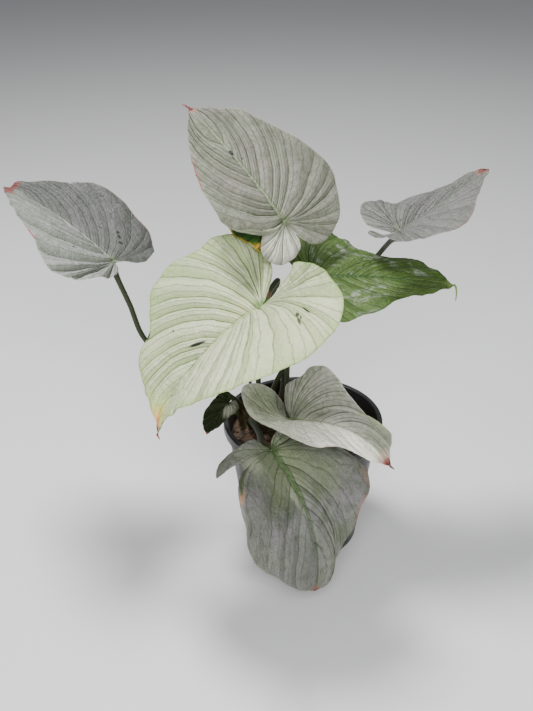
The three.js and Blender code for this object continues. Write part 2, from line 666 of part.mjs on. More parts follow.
const stemCutter = stemSolid(CLEARANCE);
let soil = soilSolid().subtract(stemCutter);
for (const leaf of LEAVES) {
  const petiole = mainBody(petioleSolid(leaf, 0).subtract(stemCutter));
  soil = soil.subtract(petioleSolid(leaf, CLEARANCE));
  addMesh(`petiole_${leaf.name}`, geometryOf(petiole), COLOURS.petiole, 0.5);
  addMesh(`blade_${leaf.name}`, bladeGeometry(leaf), COLOURS[leaf.colour], 0.55);
}
addMesh('stem', geometryOf(stemSolid(0)), COLOURS.stem, 0.8);
addMesh('soil', geometryOf(mainBody(soil)), COLOURS.soil, 0.95);
addMesh('pot', geometryOf(potSolid()), COLOURS.pot, 0.45);

export default group;
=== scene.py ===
"""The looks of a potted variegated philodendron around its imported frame. Metres, +Z up."""
import functools
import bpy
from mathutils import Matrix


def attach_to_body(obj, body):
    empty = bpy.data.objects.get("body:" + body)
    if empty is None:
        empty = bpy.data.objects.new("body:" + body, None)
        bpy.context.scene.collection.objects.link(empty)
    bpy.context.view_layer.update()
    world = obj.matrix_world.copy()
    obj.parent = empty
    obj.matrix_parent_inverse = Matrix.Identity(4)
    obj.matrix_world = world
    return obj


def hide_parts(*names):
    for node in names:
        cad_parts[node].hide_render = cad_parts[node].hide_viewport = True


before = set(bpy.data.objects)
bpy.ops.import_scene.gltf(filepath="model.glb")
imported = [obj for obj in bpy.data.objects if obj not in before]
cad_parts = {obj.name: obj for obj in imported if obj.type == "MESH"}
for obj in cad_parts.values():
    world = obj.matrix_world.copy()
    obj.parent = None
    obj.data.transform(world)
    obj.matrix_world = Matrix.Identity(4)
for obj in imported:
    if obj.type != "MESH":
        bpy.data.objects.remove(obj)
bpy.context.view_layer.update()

import types
from math import cos, exp, pi, radians, sin, sqrt

import bmesh
import bpy
import numpy as np
from mathutils import Matrix, Vector

MM = 0.001

# The same leaf measures as the solids, in millimetres and degrees. heading, pitch and roll aim the midrib at
# the petiole; sway, droop and twist say how much they change by the tip. veins are counted along half a
# blade: up to basal, a share of the margin, they leave the petiole itself, and gather draws the rest closer.
# A margin is x, y pairs on the flat half leaf (out from the midrib, on from the petiole). fold and curl lift
# and bend the half leaf (at the petiole, more by the tip), back and splay turn its lobe, lead and bow shape
# its veins, soft and calm weaken its quilting. A pleat is (share of the margin, height), a notch (share,
# depth, width) and a hook a lobe that rolls down. A petiole leaves the stem at x = at, on the side of row.
LEAF = dict(basal=.45, gather=1.6, power=1, roll=0, twist=0, sway=0, rib=1, quilt=.9, thread=())
HALF = dict(lead=1, bow=.2, back=0, splay=0, soft=1, calm=1, notches=(), pleat=None, hook=None)
PETIOLE = dict(row=1, behind=3, below=4, wide=1)
LEAVES = {
    "front": dict(
        attach=(-36, -60, 261), length=131, basal=.44, veins=15, gather=1.8, quilt=1.6, heading=-154, pitch=-21,
        droop=-49, roll=-3, thread=[(.2, 0, -1.5), (.8, 0, -3), (1.6, -.3, -4.6)],
        right=dict(lead=1.15, fold=(22, 4), curl=(4, 8), back=22, splay=2, margin=[3,-5, 15,-19, 31,-29, 52,-26,
            72,-19, 79,-5, 76,14, 79,32, 72,52, 50,72, 46,89, 25,108, 6,122]),
        left=dict(lead=1.5, fold=(25, 5), curl=(-43, 10), back=171, splay=-37, margin=[-2,-10, -1,-26, 6,-42, 23,-51,
            40,-54, 64,-41, 76,-24, 80,-6, 83,8, 78,34, 70,52, 60,69, 43,87, 20,110]),
        petiole=dict(at=-33.5, row=-1, via=[(-39, -14, 170), (-33, -12, 222), (-23, -18, 262), (-28, -31, 262),
            (-31, -45, 262)])),
    "top": dict(
        attach=(-18, 5, 303), length=124, basal=.46, veins=15, gather=2, quilt=1.3, heading=144, pitch=45, droop=-18,
        roll=3, twist=8, sway=-7, thread=[(-1.6, .6, .6), (-3.4, .6, 2), (-5.6, .4, 2.4)],
        right=dict(lead=1.6, bow=.22, fold=(6, 25), curl=(14, 20), back=-25, splay=25, calm=.5, soft=.65,
            margin=[1,-4, 3,-15, 11,-27, 23,-31, 37,-29, 51,-20, 60,-2, 63,14, 59,30, 50,50, 38,73, 27,96, 14,109]),
        left=dict(lead=1.5, bow=.3, fold=(3, -6), curl=(8, -7), back=-1, pleat=(.42, 1.6), calm=.2, soft=1.25,
            margin=[0,-5, -2,-14, 1,-24, 9,-28, 21,-30, 33,-29, 44,-23, 47,-17, 40,-8, 28,2, 42,6, 55,10, 61,16,
            57,32, 48,56, 31,86, 16,106]),
        petiole=dict(at=-23, below=6, via=[(-17, 21, 150), (-32, 23, 200), (-36, 21, 240), (-25, 17, 282)])),
    "left": dict(
        attach=(-155, 0, 270), length=124, basal=.4, veins=10, gather=2, quilt=1.5, heading=146, pitch=29, droop=-23,
        roll=-8, twist=5, sway=-3,
        right=dict(lead=1.6, bow=.22, fold=(13, 26), curl=(-29, 48), splay=3, soft=.3, notches=[(.635, 1.6, .006),
            (.3, .8, .006)], margin=[3,-1, 11,-6, 22,-12, 37,-10, 55,-1, 61,12, 57,28, 54,46, 46,68, 34,80, 22,98,
            12,113, 8.5,121]),
        left=dict(lead=1.3, bow=.22, fold=(20, 6), curl=(-19, 24), back=14, splay=2, soft=1.4,
            notches=[(.3, 1.7, .007), (.17, .8, .008), (.47, .7, .01)], margin=[2,-5, 9,-11, 22,-16, 39,-16, 58,-10,
            71,1, 75,12, 69,26, 62,47, 50,70, 36,90, 17,111, 8,121]),
        petiole=dict(at=-51.5, below=5, via=[(-57, 7, 131), (-98, 6, 162), (-134, 3, 196), (-145, 2, 230)])),
    "right": dict(
        attach=(76, 10, 293), length=101, veins=13, gather=2.6, heading=38, pitch=15, droop=6, roll=12, twist=2,
        sway=-2,
        right=dict(lead=2.1, bow=.16, fold=(30, -13), curl=(-45, -18), back=84, splay=-24, margin=[2,-6, 7,-20,
            13,-40, 23,-54, 35,-55, 46,-38, 47,-10, 52,10, 51,24, 42,44, 30,61, 15,85, 8,97]),
        left=dict(lead=2.1, bow=.16, fold=(28, -20), curl=(-12, -57), back=30, splay=6, margin=[4,-8, 13,-14, 24,-15,
            38,-9, 50,6, 56,18, 53,26, 34,24, 32,40, 28,55, 19,70, 15,82, 12,93, 6,100]),
        petiole=dict(at=-32.5, behind=0, below=6, via=[(-21, 12, 155), (22, 32, 205), (64, 47, 256),
            (72, 32, 275)])),
    "green": dict(
        attach=(5, 0, 258), length=116, veins=10, heading=0, pitch=0, droop=-8, roll=-8, twist=3, sway=-1,
        thread=[(1.4, 0, -1.2), (2.4, 0, -4), (2.9, -.3, -9), (2.8, -.5, -14)],
        right=dict(lead=1.4, fold=(5, 1), curl=(-16, 3), back=60, margin=[2,-4, 6,-12, 16,-18, 32,-18, 48,-10, 57,4,
            60,20, 54,36, 46,53, 31,69, 22,90, 8,110]),
        left=dict(lead=1.4, fold=(9, -1), curl=(-13, -8), back=40, margin=[2,-4, 7,-13, 18,-21, 36,-24, 56,-16, 68,2,
            69,20, 58,29, 44,37, 32,57, 31,74, 33,87, 23,98, 8,111]),
        petiole=dict(at=-13.5, below=6, via=[(-14, 5, 170), (-8, 4, 225)])),
    "mid": dict(
        attach=(-12, -72, 166), length=94, basal=.42, veins=12, gather=2, power=2, heading=-29, pitch=15, droop=-73,
        twist=-14, sway=-3, thread=[(.9, -.4, -.8), (2.2, -.8, -1.6), (3.2, -.8, -2.6)],
        right=dict(lead=1.3, fold=(17, -19), curl=(-4, -14), back=239, splay=-165, soft=.5, margin=[-4,-8, -9,-20,
            -5,-28, 2,-35, 12,-40, 24,-38, 28,-18, 27,-10, 30,3, 36,28, 33,40, 21,55, 18,63, 15,75, 5,89]),
        left=dict(lead=1.3, fold=(64, 11), curl=(-15, 11), back=65, splay=12, soft=.7, margin=[4,-4, 20,-10, 26,-10,
            31,-2, 34,6, 42,14, 44,23, 42,30, 29,43, 20,55, 14,63, 15,70, 19,76, 14,80, 6,85]),
        petiole=dict(at=-24, row=-1, below=4.8, via=[(-24, -26, 145), (-17, -52, 159)])),
    "bottom": dict(
        attach=(-28, -95, 152), length=133, veins=7, gather=2.2, heading=-39, pitch=-37, droop=-62, roll=9,
        twist=-15, sway=-8, rib=1.5,
        right=dict(lead=1.25, bow=.26, fold=(10, -8), curl=(17, -31),
            hook=dict(start=13.6, turn=40, radius=25, most=150, full=-5, fade=35), margin=[4,-9, 9,-14, 30,-17,
            48,-17, 58,-8, 51,-9, 41,-5, 45,1, 60,11, 80,21, 91,34, 80,52, 66,68, 43,92, 28,110, 15,123]),
        left=dict(lead=1.7, bow=.26, fold=(8, 3), curl=(-7, 12), margin=[2,-3, 9,-8, 22,-11, 38,-7, 52,8, 61,28,
            68,43, 72,53, 65,67, 52,74, 38,88, 23,100, 16,110, 11,130]),
        petiole=dict(at=-43, row=-1, wide=1.25, behind=6, via=[(-45, -16, 127), (-38, -52, 139)])),
    "small": dict(
        attach=(-64, -20, 148), length=33, veins=6, heading=-143, pitch=-32, droop=-25,
        right=dict(bow=.16, fold=(10, 0), curl=(1, 0), margin=[1,-3, 4,-7, 9,-7, 13,-3, 14,6, 14,16, 12,23, 6,30]),
        left=dict(bow=.16, fold=(10, 0), curl=(1, 0), margin=[1,-3, 5,-5, 11,-4, 17,0, 18,4, 14,8, 13,14, 10,21,
            3,29]),
        petiole=dict(at=-52.5, row=-1, behind=2, via=[(-57, -8, 130)])),
    "old": dict(
        attach=(-28, 4, 301), length=36, veins=6, heading=170, pitch=-3, droop=-10, roll=25,
        right=dict(bow=.16, fold=(6, 0), curl=(1, 0), margin=[1,-3, 7,-2, 13,8, 14,19, 8,33]),
        left=dict(bow=.16, fold=(6, 0), curl=(1, 0), margin=[1,-2, 10,-3, 23,-4, 33,-2, 34,3, 30,9, 25,12, 19,21,
            12,29]),
        petiole=dict(at=-42, behind=1, via=[(-48, 22, 160), (-50, 25, 230), (-38, 12, 278)])),
}
SIDES = (("right", 1), ("left", -1))
FULL_LENGTH = 90        # a blade shorter than this has its relief and its markings smaller
SMALL_LENGTH = 60       # a blade shorter than this is modelled coarser, on a thinner petiole
Data = types.SimpleNamespace
for name, leaf in LEAVES.items():
    leaf["halves"] = {side: Data(**{**HALF, **leaf[side]}) for side, _ in SIDES}
    leaf["petiole"] = Data(**{**PETIOLE, **leaf["petiole"]})
    LEAVES[name] = Data(**{**LEAF, **leaf, "scale": min(1, leaf["length"] / FULL_LENGTH)})

BLADE_THICKNESS = .5
VEIN_LINES = (60, 216)  # vein lines that a half blade is built on, for a small and for a big leaf
ALONG_LINE = np.concatenate([np.linspace(0, .05, 6), np.linspace(.07, .95, 46), [.965, .98, .99, 1]])
CUSHION = .17           # how high the cushions between the veins rise, as a share of the veins' spacing
FURROW = .45            # depth of the furrow on either side of the midrib
LAST_VEIN = .72         # share of the midrib from which all side veins but the last have left

STEM_PATH = [(-56, 10, 103), (-44, 6, 107), (-28, 0, 111), (-12, -5, 116), (0, -8, 121)]
STEM_RADIUS = 7.5
# Each root's place along x, its side, how far it leans along x and how far it reaches out
ROOTS = [(-48, -1, -4, 10), (-38, -1, 3, 14), (-22, 1, 5, 15), (-14, -1, 4, 10), (-6, 1, 6, 12), (-45, 1, -4, 9)]
POT = Data(height=120, rim=70, base=51, wall=1.6, lip=9, lip_width=3)
DRAINS = Data(count=8, place=.036, radius=.005)
SOIL_TOP = 107
BIG_CHIPS, SMALL_CHIPS = 300, 130


def run_along(path):
    """Millimetres run at each point."""
    return np.concatenate([[0], np.cumsum(np.linalg.norm(np.diff(path, axis=0), axis=1))])


def lookup(x, xs, table):
    """A table of points, interpolated at x."""
    return np.stack([np.interp(x, xs, table[:, k]) for k in range(table.shape[1])], -1)


def along_path(path, parts):
    """Points at shares of the length of a dense path."""
    run = run_along(path)
    return lookup(np.asarray(parts) * run[-1], run, path)


def catmull(points, per):
    """Dense points on a centripetal Catmull-Rom curve."""
    p = np.asarray(points, float)
    p = np.vstack([2 * p[0] - p[1], p, 2 * p[-1] - p[-2]])
    u = np.linspace(0, 1, per, endpoint=False)[:, None]
    out = []
    for a, b, c, d in zip(p, p[1:], p[2:], p[3:]):
        t0, t1, t2 = (max(np.linalg.norm(q - r) ** .5, 1e-4) for q, r in ((b, a), (c, b), (d, c)))
        m1 = ((b - a) / t0 - (c - a) / (t0 + t1) + (c - b) / t1) * t1
        m2 = ((c - b) / t1 - (d - b) / (t1 + t2) + (d - c) / t2) * t1
        out.append(b * (2 * u ** 3 - 3 * u ** 2 + 1) + m1 * (u ** 3 - 2 * u ** 2 + u)
                   + c * (3 * u ** 2 - 2 * u ** 3) + m2 * (u ** 3 - u ** 2))
    return np.vstack(out + [p[-2:-1]])


def unit(a):
    return a / np.maximum(np.linalg.norm(a, axis=-1, keepdims=True), 1e-12)


def step(x, lo, hi):
    """A smooth step from 0 at lo to 1 at hi."""
    t = np.clip((x - lo) / (hi - lo), 0, 1)
    return t * t * (3 - 2 * t)


def wobble(x, y, seed, size):
    """Uneven height from crossing waves, about -1 to 1."""
    r = np.random.default_rng(seed)
    total = 0
    for k in range(5):
        angle, phase = r.uniform(0, 2 * pi, 2)
        f = 2 * pi / (size * r.uniform(.7, 1.6))
        total = total + np.sin(f * (x * cos(angle) + y * sin(angle)) + phase)
    return total / 3


def spine(leaf, side, sign):
    """Place and axes of the midrib at each y, and on behind the petiole for the lobe."""
    half, length = leaf.halves[side], leaf.length
    y = np.linspace(-.6, 1.2, 181) * length
    ahead, behind = np.clip(y / length, 0, None), np.clip(y / length, None, 0)
    pitch = np.radians(leaf.pitch + leaf.droop * ahead ** leaf.power + half.back * behind)
    head = np.radians(leaf.heading + leaf.sway * ahead - sign * half.splay * behind)
    along = np.stack([np.cos(pitch) * np.cos(head), np.cos(pitch) * np.sin(head), np.sin(pitch)], -1)
    level = np.stack([np.sin(head), -np.cos(head), 0 * head], -1)
    top = np.cross(level, along)
    roll = np.radians(leaf.roll + leaf.twist * ahead)[:, None]
    across = np.cos(roll) * level + np.sin(roll) * top
    up = np.cos(roll) * top - np.sin(roll) * level
    place = np.vstack([np.zeros(3), np.cumsum((along[1:] + along[:-1]) / 2 * (y[1] - y[0]), axis=0)])
    return y, place - lookup(0, y, place) + np.array(leaf.attach), along, across, up


def surface(leaf, side, sign):
    """The blade's smooth surface at flat points (x out from the midrib, y along it)."""
    half, length = leaf.halves[side], leaf.length
    ys, place, _, across, up = spine(leaf, side, sign)

    def plain(x, y):
        x, y = np.asarray(x, float), np.asarray(y, float)
        t = np.clip(y / length, 0, 1)
        a0 = np.radians(half.fold[0] + half.fold[1] * t)
        bend = np.radians(half.curl[0] + half.curl[1] * t) / (.45 * length)
        bend = np.where(np.abs(bend) < 1e-6, 1e-6, bend)
        a1 = a0 + bend * x
        out = ((np.sin(a1) - np.sin(a0)) / bend)[..., None]
        rise = ((np.cos(a0) - np.cos(a1)) / bend)[..., None]
        return lookup(y, ys, place) + sign * out * lookup(y, ys, across) + rise * lookup(y, ys, up)

    if not half.hook:
        return plain
    hook = half.hook
    root = plain(.5, 0)
    out = unit(plain(6, 0) - root)
    along = plain(.5, 6) - root
    along = unit(along - along.dot(out) * out)
    rise = np.cross(out, along)
    turn = radians(hook["turn"])
    way = cos(turn) * out - sin(turn) * along
    start = root + way * hook["start"]

    def rolled(x, y):
        """The plain surface, rolled down past a line across the lobe."""
        p = plain(x, y)
        reach, height = (p - start) @ way, (p - start) @ rise
        radius = hook["radius"] / np.clip(1 - (np.asarray(y, float) - hook["full"]) / hook["fade"], .001, 1)
        angle = np.minimum(reach / radius, radians(hook["most"]))
        rest = reach - angle * radius
        new_reach = np.sin(angle) * (radius + height) + np.cos(angle) * rest
        new_height = np.cos(angle) * (radius + height) - radius - np.sin(angle) * rest
        moved = p + (new_reach - reach)[..., None] * way + (new_height - height)[..., None] * rise
        return np.where((reach > 0)[..., None], moved, p)

    return rolled


def vein_number(leaf, w):
    """Vein lines lie where this is whole; they stand closer towards the tip."""
    return leaf.veins * w ** 1.2 + .25 * np.sin(2.1 * leaf.veins * w + leaf.length) * np.minimum(1, 4 * w)


def ahead_of(leaf, w):
    """Share of the way from the last basal vein to the tip."""
    return np.clip((w - leaf.basal) / (1 - leaf.basal), 0, None)


def led_on(leaf, w, lead):
    """Shares of the margin, moved on to the tip past the basal veins."""
    basal = leaf.basal
    return np.where(w > basal, basal + (1 - basal) * (1 - (1 - ahead_of(leaf, w)) ** lead), w)


def vein_grid(leaf, side, w, v, seed):
    """Flat points of the vein lines, which fan out from the petiole, then leave the midrib one by one."""
    half, basal, length = leaf.halves[side], leaf.basal, leaf.length
    path = catmull([*np.reshape(half.margin, (-1, 2)), (0, length)], 40)
    end = along_path(path, led_on(leaf, w, half.lead))
    out = unit(np.gradient(end, axis=0))[:, ::-1] * [1, -1]
    ragged = wobble(150 * w, 0 * w, seed + (side == "left"), 11) * step(w, .02, .1) * step(w, 1, .97)
    cut = 0 * w
    for spot, depth, width in half.notches:
        cut = cut + depth * np.exp(-((w - spot) / width) ** 2)
    end = end + out * (.28 * leaf.scale * ragged - cut)[:, None]
    ahead = ahead_of(leaf, w)
    left_at = LAST_VEIN * ahead ** leaf.gather + (1 - LAST_VEIN) * ahead ** 12
    start = np.stack([0 * w, length * left_at], -1)
    chord = end - start
    bow = half.bow * step(w, .35 * basal, 1.15 * basal)
    knee = start + .5 * chord + np.stack([chord[:, 1], -chord[:, 0]], -1) * bow[:, None]
    a, b, c = ((1 - v) ** 2)[None, :, None], (2 * v * (1 - v))[None, :, None], (v ** 2)[None, :, None]
    return a * start[:, None] + b * knee[:, None] + c * end[:, None], np.linalg.norm(chord, axis=1)


def vein_spacing(flat, phi, v):
    """Millimetres from one vein to the next, at every grid point."""
    across = np.gradient(flat, axis=0) / np.gradient(phi)[:, None, None]
    along = unit(np.gradient(flat, v, axis=1))
    return np.abs(across[..., 0] * along[..., 1] - across[..., 1] * along[..., 0])


def rib_half(leaf, y):
    """Half the width of the midrib on the upper face."""
    return leaf.rib * leaf.scale * (.45 + 1.15 * np.clip(1 - y / leaf.length, 0, 1))


def relief(leaf, side, w, phi, v, flat, spacing, seed):
    """Quilting: furrows on the veins, cushions between them, fine crinkles and a wavy margin."""
    half, scale, x, y = leaf.halves[side], leaf.scale, flat[..., 0], flat[..., 1]
    near = np.abs(phi - np.round(phi))
    strong = .75 + .25 * np.sin(12.9 * np.round(phi) + leaf.length)
    cushion = 2 * np.sin(pi * near) ** .7 - 1
    cushion = np.where(near < .25, cushion * strong + (strong - 1), cushion)
    fine = np.abs(3 * phi - np.round(3 * phi))
    cushion = cushion - .22 * np.exp(-(fine / .14) ** 2) * (near > .12)
    size = np.clip(CUSHION * spacing, .03, leaf.quilt) * (1 - .5 * step(v, .9, 1)) * half.soft
    height = size * cushion * (half.calm + (1 - half.calm) * step(w, .6 * leaf.basal, leaf.basal))

    # The cushions die away at the midrib, between its two furrows
    height = height * (1 - .85 * (1 - step(x, 0, 5 * scale)) * step(y, 0, 6))
    beside = (x / rib_half(leaf, y) - 1.5) / .6
    height -= FURROW * scale * np.exp(-beside ** 2) * step(y, 0, 6)

    # Uneven waves of three sizes, and the margin's own
    inner = scale * step(v, .04, .4)
    height += inner * (.5 * wobble(x, y, seed, 24) + .2 * wobble(x, y, seed + 3, 6.5))
    height += inner * .12 * wobble(x, y, seed + 4, 3.4)
    height += .6 * scale * wobble(170 * w, 9 * v, seed + 6, 17) * step(v, .8, 1.02)
    if half.pleat:
        seam, depth = half.pleat
        height += depth * v * np.exp(-np.abs(w - seam) / .07) * np.where(w < seam, -1, 1)
    return height


def vertex_normals(points, quads):
    a, b, c, d = (points[quads[:, k]] for k in range(4))
    face = np.cross(c - a, d - b)
    total = np.zeros_like(points)
    for k in range(4):
        np.add.at(total, quads[:, k], face)
    return unit(total)


def put(name, data):
    obj = bpy.data.objects.new(name, data)
    bpy.context.scene.collection.objects.link(obj)
    return obj


def make_mesh(name, points, faces, attributes=None, smooth=True):
    """An object from points in millimetres, with the attributes that its material reads."""
    mesh = bpy.data.meshes.new(name)
    mesh.from_pydata([tuple(p) for p in np.asarray(points) * MM], [], faces)
    for key, values in (attributes or {}).items():
        layer = mesh.attributes.new(key, "FLOAT_VECTOR", "POINT")
        layer.data.foreach_set("vector", np.asarray(values, np.float32).ravel())
    mesh.polygons.foreach_set("use_smooth", [smooth] * len(mesh.polygons))
    return put(name, mesh)


def corners(ring):
    """A face without its repeated corners, empty under three."""
    ring = [k for i, k in enumerate(ring) if k != ring[i - 1]]
    return ring if len(set(ring)) > 2 else []


def bridge(rings):
    """Faces between closed rings in turn, any of which may be a single point."""
    faces = []
    for a, b in zip(rings, rings[1:]):
        n = max(len(a), len(b))
        for k in range(n):
            j = (k + 1) % n
            faces.append(corners([a[k % len(a)], a[j % len(a)], b[j % len(b)], b[k % len(b)]]))
    return [face for face in faces if face]


def join(parts):
    """Several (points, faces, coordinates) into one."""
    points, faces, coords, shift = [], [], [], 0
    for p, f, c in parts:
        points.append(p)
        coords.append(c)
        faces += [[k + shift for k in face] for face in f]
        shift += len(p)
    return np.vstack(points), faces, np.vstack(coords)


def tube(path, radius, sides):
    """Points, faces and tube coordinates (turn, millimetres run, millimetres left) of a closed tube."""
    n, run = len(path), run_along(path)
    tangent = unit(np.gradient(path, axis=0))
    normal = unit(np.cross(tangent[0], [0, 0, 1] if abs(tangent[0][2]) < .9 else [1, 0, 0]))
    angle = 2 * pi * np.arange(sides) / sides
    points, coords = [], []
    for i in range(n):
        normal = unit(normal - normal.dot(tangent[i]) * tangent[i])
        other = np.cross(tangent[i], normal)
        r = radius(run[i], run[-1], angle)
        points.append(path[i] + (r * np.cos(angle))[:, None] * normal + (r * np.sin(angle))[:, None] * other)
        coords += [(6 * k / sides, run[i], run[-1] - run[i]) for k in range(sides)]
    coords += [(0, 0, run[-1]), (0, run[-1], 0)]
    rings = [list(range(i * sides, (i + 1) * sides)) for i in range(n)]
    faces = bridge([[n * sides], *rings, [n * sides + 1]])
    return np.vstack(points + [path[0], path[-1]]), faces, np.array(coords)


def thread(leaf, tip):
    """The drawn-out thread at a blade's tip. The doubled first point keeps its start straight."""
    line = catmull([tip, tip, *(tip + np.array(place) for place in leaf.thread)], 10)
    path = along_path(line, np.linspace(0, 1, 22))
    points, faces, coords = tube(path, lambda run, total, angle: 1.05 - .7 * (run / total) ** .7, 8)
    coords = [(0, leaf.length - 2.5 + run, 1, .5, 1, 9, 0, 0, 0) for _, run, _ in coords]
    return points, faces, np.array(coords)


def blade(name, leaf, seed):
    """One closed blade: upper and lower face on the vein grid, with a raised midrib and veins below."""
    lines, v = VEIN_LINES[leaf.length > SMALL_LENGTH], ALONG_LINE
    w = led_on(leaf, np.arange(lines + 1) / lines, 1.3)
    points, flats, veins, quads, ids = [], [], [], [], {}
    for side, sign in SIDES:
        flat, chord = vein_grid(leaf, side, w, v, seed)
        phi = vein_number(leaf, w)
        spacing = vein_spacing(flat, phi, v)
        surf = surface(leaf, side, sign)
        x, y = flat[..., 0], flat[..., 1]
        p = surf(x, y)
        n = unit(np.cross(surf(x + .5, y) - p, surf(x, y + .5) - p)) * sign
        wv, vv = np.broadcast_arrays(w[:, None], v[None, :])
        number = phi[:, None] + .045 * wobble(x, y, seed + 9, 26) * step(vv, .03, .25) * step(wv, .01, .06)
        height = relief(leaf, side, wv, number, vv, flat, spacing, seed)
        height[:, 0] = height[-1] = 0
        p = p + n * height[..., None]
        edge = np.minimum((1 - vv) * chord[:, None],
                          np.where(wv < .3, np.abs(x) + 60 * wv + 2 * np.hypot(x, y) * wv, 1e3))
        grid = np.empty((lines + 1, len(v)), int)
        for i, j in np.ndindex(grid.shape):
            if j == 0:
                key = ("rib", i) if w[i] > leaf.basal else "root"
            else:
                key = ("tip", j) if i == lines else (side, i, j)
            if key not in ids:
                ids[key] = len(points)
                points.append(p[i, j])
                flats.append((sign * x[i, j], y[i, j], edge[i, j]))
                veins.append((number[i, j], v[j], spacing[i, j]))
            grid[i, j] = ids[key]
        a, b, c, d = grid[:-1, :-1], grid[:-1, 1:], grid[1:, 1:], grid[1:, :-1]
        quads.append(np.stack([a, b, c, d][::sign], -1).reshape(-1, 4))
    points, flats, veins, quads = np.array(points), np.array(flats), np.array(veins), np.vstack(quads)

    # Both faces, thinner to the margin, with the ribs on the lower one
    normals = vertex_normals(points, quads)
    thin = np.clip(flats[:, 2] / 1.2, .35, 1)[:, None]
    near = np.abs(veins[:, 0] - np.round(veins[:, 0]))
    taper = np.clip(1 - flats[:, 1] / leaf.length, 0, 1) * leaf.scale
    rib = (.25 + 1.3 * taper) * np.exp(-(flats[:, 0] / (.5 + 1.1 * taper)) ** 2) * (flats[:, 1] > -3)
    side_rib = .35 * np.exp(-(near / .05) ** 2) * (1 - .8 * veins[:, 1]) * step(veins[:, 1], 0, .05)
    upper = points + normals * BLADE_THICKNESS / 2 * thin
    lower = points - normals * (BLADE_THICKNESS / 2 * thin + np.maximum(rib, side_rib)[:, None] * thin)
    n, faces, border = len(points), [], {}
    for ring in filter(None, map(corners, quads.tolist())):
        faces += [ring, [k + n for k in reversed(ring)]]
        for p, q in zip(ring, ring[1:] + ring[:1]):
            if border.pop((q, p), None) is None:
                border[p, q] = True
    faces += [[q, p, p + n, q + n] for p, q in border]
    coords = np.hstack([flats, veins, np.zeros((n, 3))])
    below = coords + np.array([0, 0, 0, 0, 0, 0, 1, 0, 0])
    parts = [(np.vstack([upper, lower]), faces, np.vstack([coords, below]))]
    if leaf.thread:
        parts.append(thread(leaf, points[ids["tip", len(v) - 1]]))
    points, faces, coords = join(parts)
    return make_mesh(name, points, faces, {"flat": coords[:, :3], "vein": coords[:, 3:6], "face": coords[:, 6:]})


stem_line = catmull(STEM_PATH, 40)


def stem_point(x):
    return lookup(x, stem_line[:, 0], stem_line)


def petiole_line(leaf, *ends):
    """A petiole's axis from its seat on the stem through its points, and on to the given ends."""
    p = leaf.petiole
    return catmull([stem_point(p.at) + np.array([0, p.row * 5.4, 3]), *p.via, *ends], 40)


def petiole(leaf):
    """A petiole: wide at its foot, a knee and a neck below the blade, and a furrow along it."""
    p = leaf.petiole
    ys, _, along, _, up = spine(leaf, "right", 1)
    along, up = lookup(0, ys, along), lookup(0, ys, up)
    attach = np.array(leaf.attach, float)
    line = petiole_line(leaf, attach - up * p.below - along * p.behind, attach - up * .3)
    path = along_path(line, np.linspace(0, 1, int(run_along(line)[-1] / 2.2) + 8))
    scale = .62 if leaf.length < SMALL_LENGTH else 1

    def radius(run, total, angle):
        foot = exp(-(run / 22) ** 2)
        full = scale * (2.2 * p.wide + 1.7 * foot)
        knee = .3 * scale * exp(-((total - run - 9) / 7) ** 2)
        neck = exp(-((total - run) / 2.6) ** 2)
        full = full + knee + (1.3 * scale - full) * neck
        furrow = .05 * np.exp(-((angle - pi) / .5) ** 2)
        return full * (1 + .02 * np.cos(9 * angle + .02 * run) - furrow)

    return tube(path, radius, 24)


def sheath(leaf, seed):
    """The torn brown sheath round the foot of a petiole: an open jagged sleeve with a thickness."""
    r = np.random.default_rng(seed)
    line, small = petiole_line(leaf), leaf.length < SMALL_LENGTH
    total = run_along(line)[-1]
    tall = r.uniform(15, 24) * (.6 if small else 1)
    base = 5 * (.68 if small else 1)
    turn = r.uniform(0, 2 * pi)
    spread = radians(r.uniform(210, 290))
    rows, cols, thickness = 12, 28, .3
    points, coords = [], []
    for inside in (0, thickness):
        for j in range(cols + 1):
            a, off = turn + spread * (j / cols - .5), abs(2 * j / cols - 1)
            top = tall * (.72 + .28 * sin(j * 1.9 + seed) * sin(j * .7)) * (1 - .35 * off ** 3)
            for i in range(rows + 1):
                s = i / rows * top
                c = along_path(line, [s / total])[0]
                ahead = unit(along_path(line, [min(1, (s + 2) / total)])[0] - c)
                side = unit(np.cross(ahead, [1, .2, 0]))
                other = np.cross(ahead, side)
                out = base - .9 * s / tall + .25 * sin(5 * a) + 1.1 * (i / rows) ** 3 * off - inside
                points.append(c + out * (cos(a) * side + sin(a) * other))
                coords.append((a / pi * 5, s, 0))
    layer = np.arange(len(points)).reshape(2, cols + 1, rows + 1)
    rings = [[*layer[0, j].tolist(), *layer[1, j, ::-1].tolist()] for j in range(cols + 1)]
    faces = [[a[k - 1], b[k - 1], b[k], a[k]] for a, b in zip(rings, rings[1:]) for k in range(len(a))]
    for ring, order in ((rings[0], 1), (rings[-1], -1)):
        faces += [[ring[i], ring[i + 1], ring[-i - 2], ring[-i - 1]][::order] for i in range(rows)]
    return np.array(points), faces, np.array(coords)


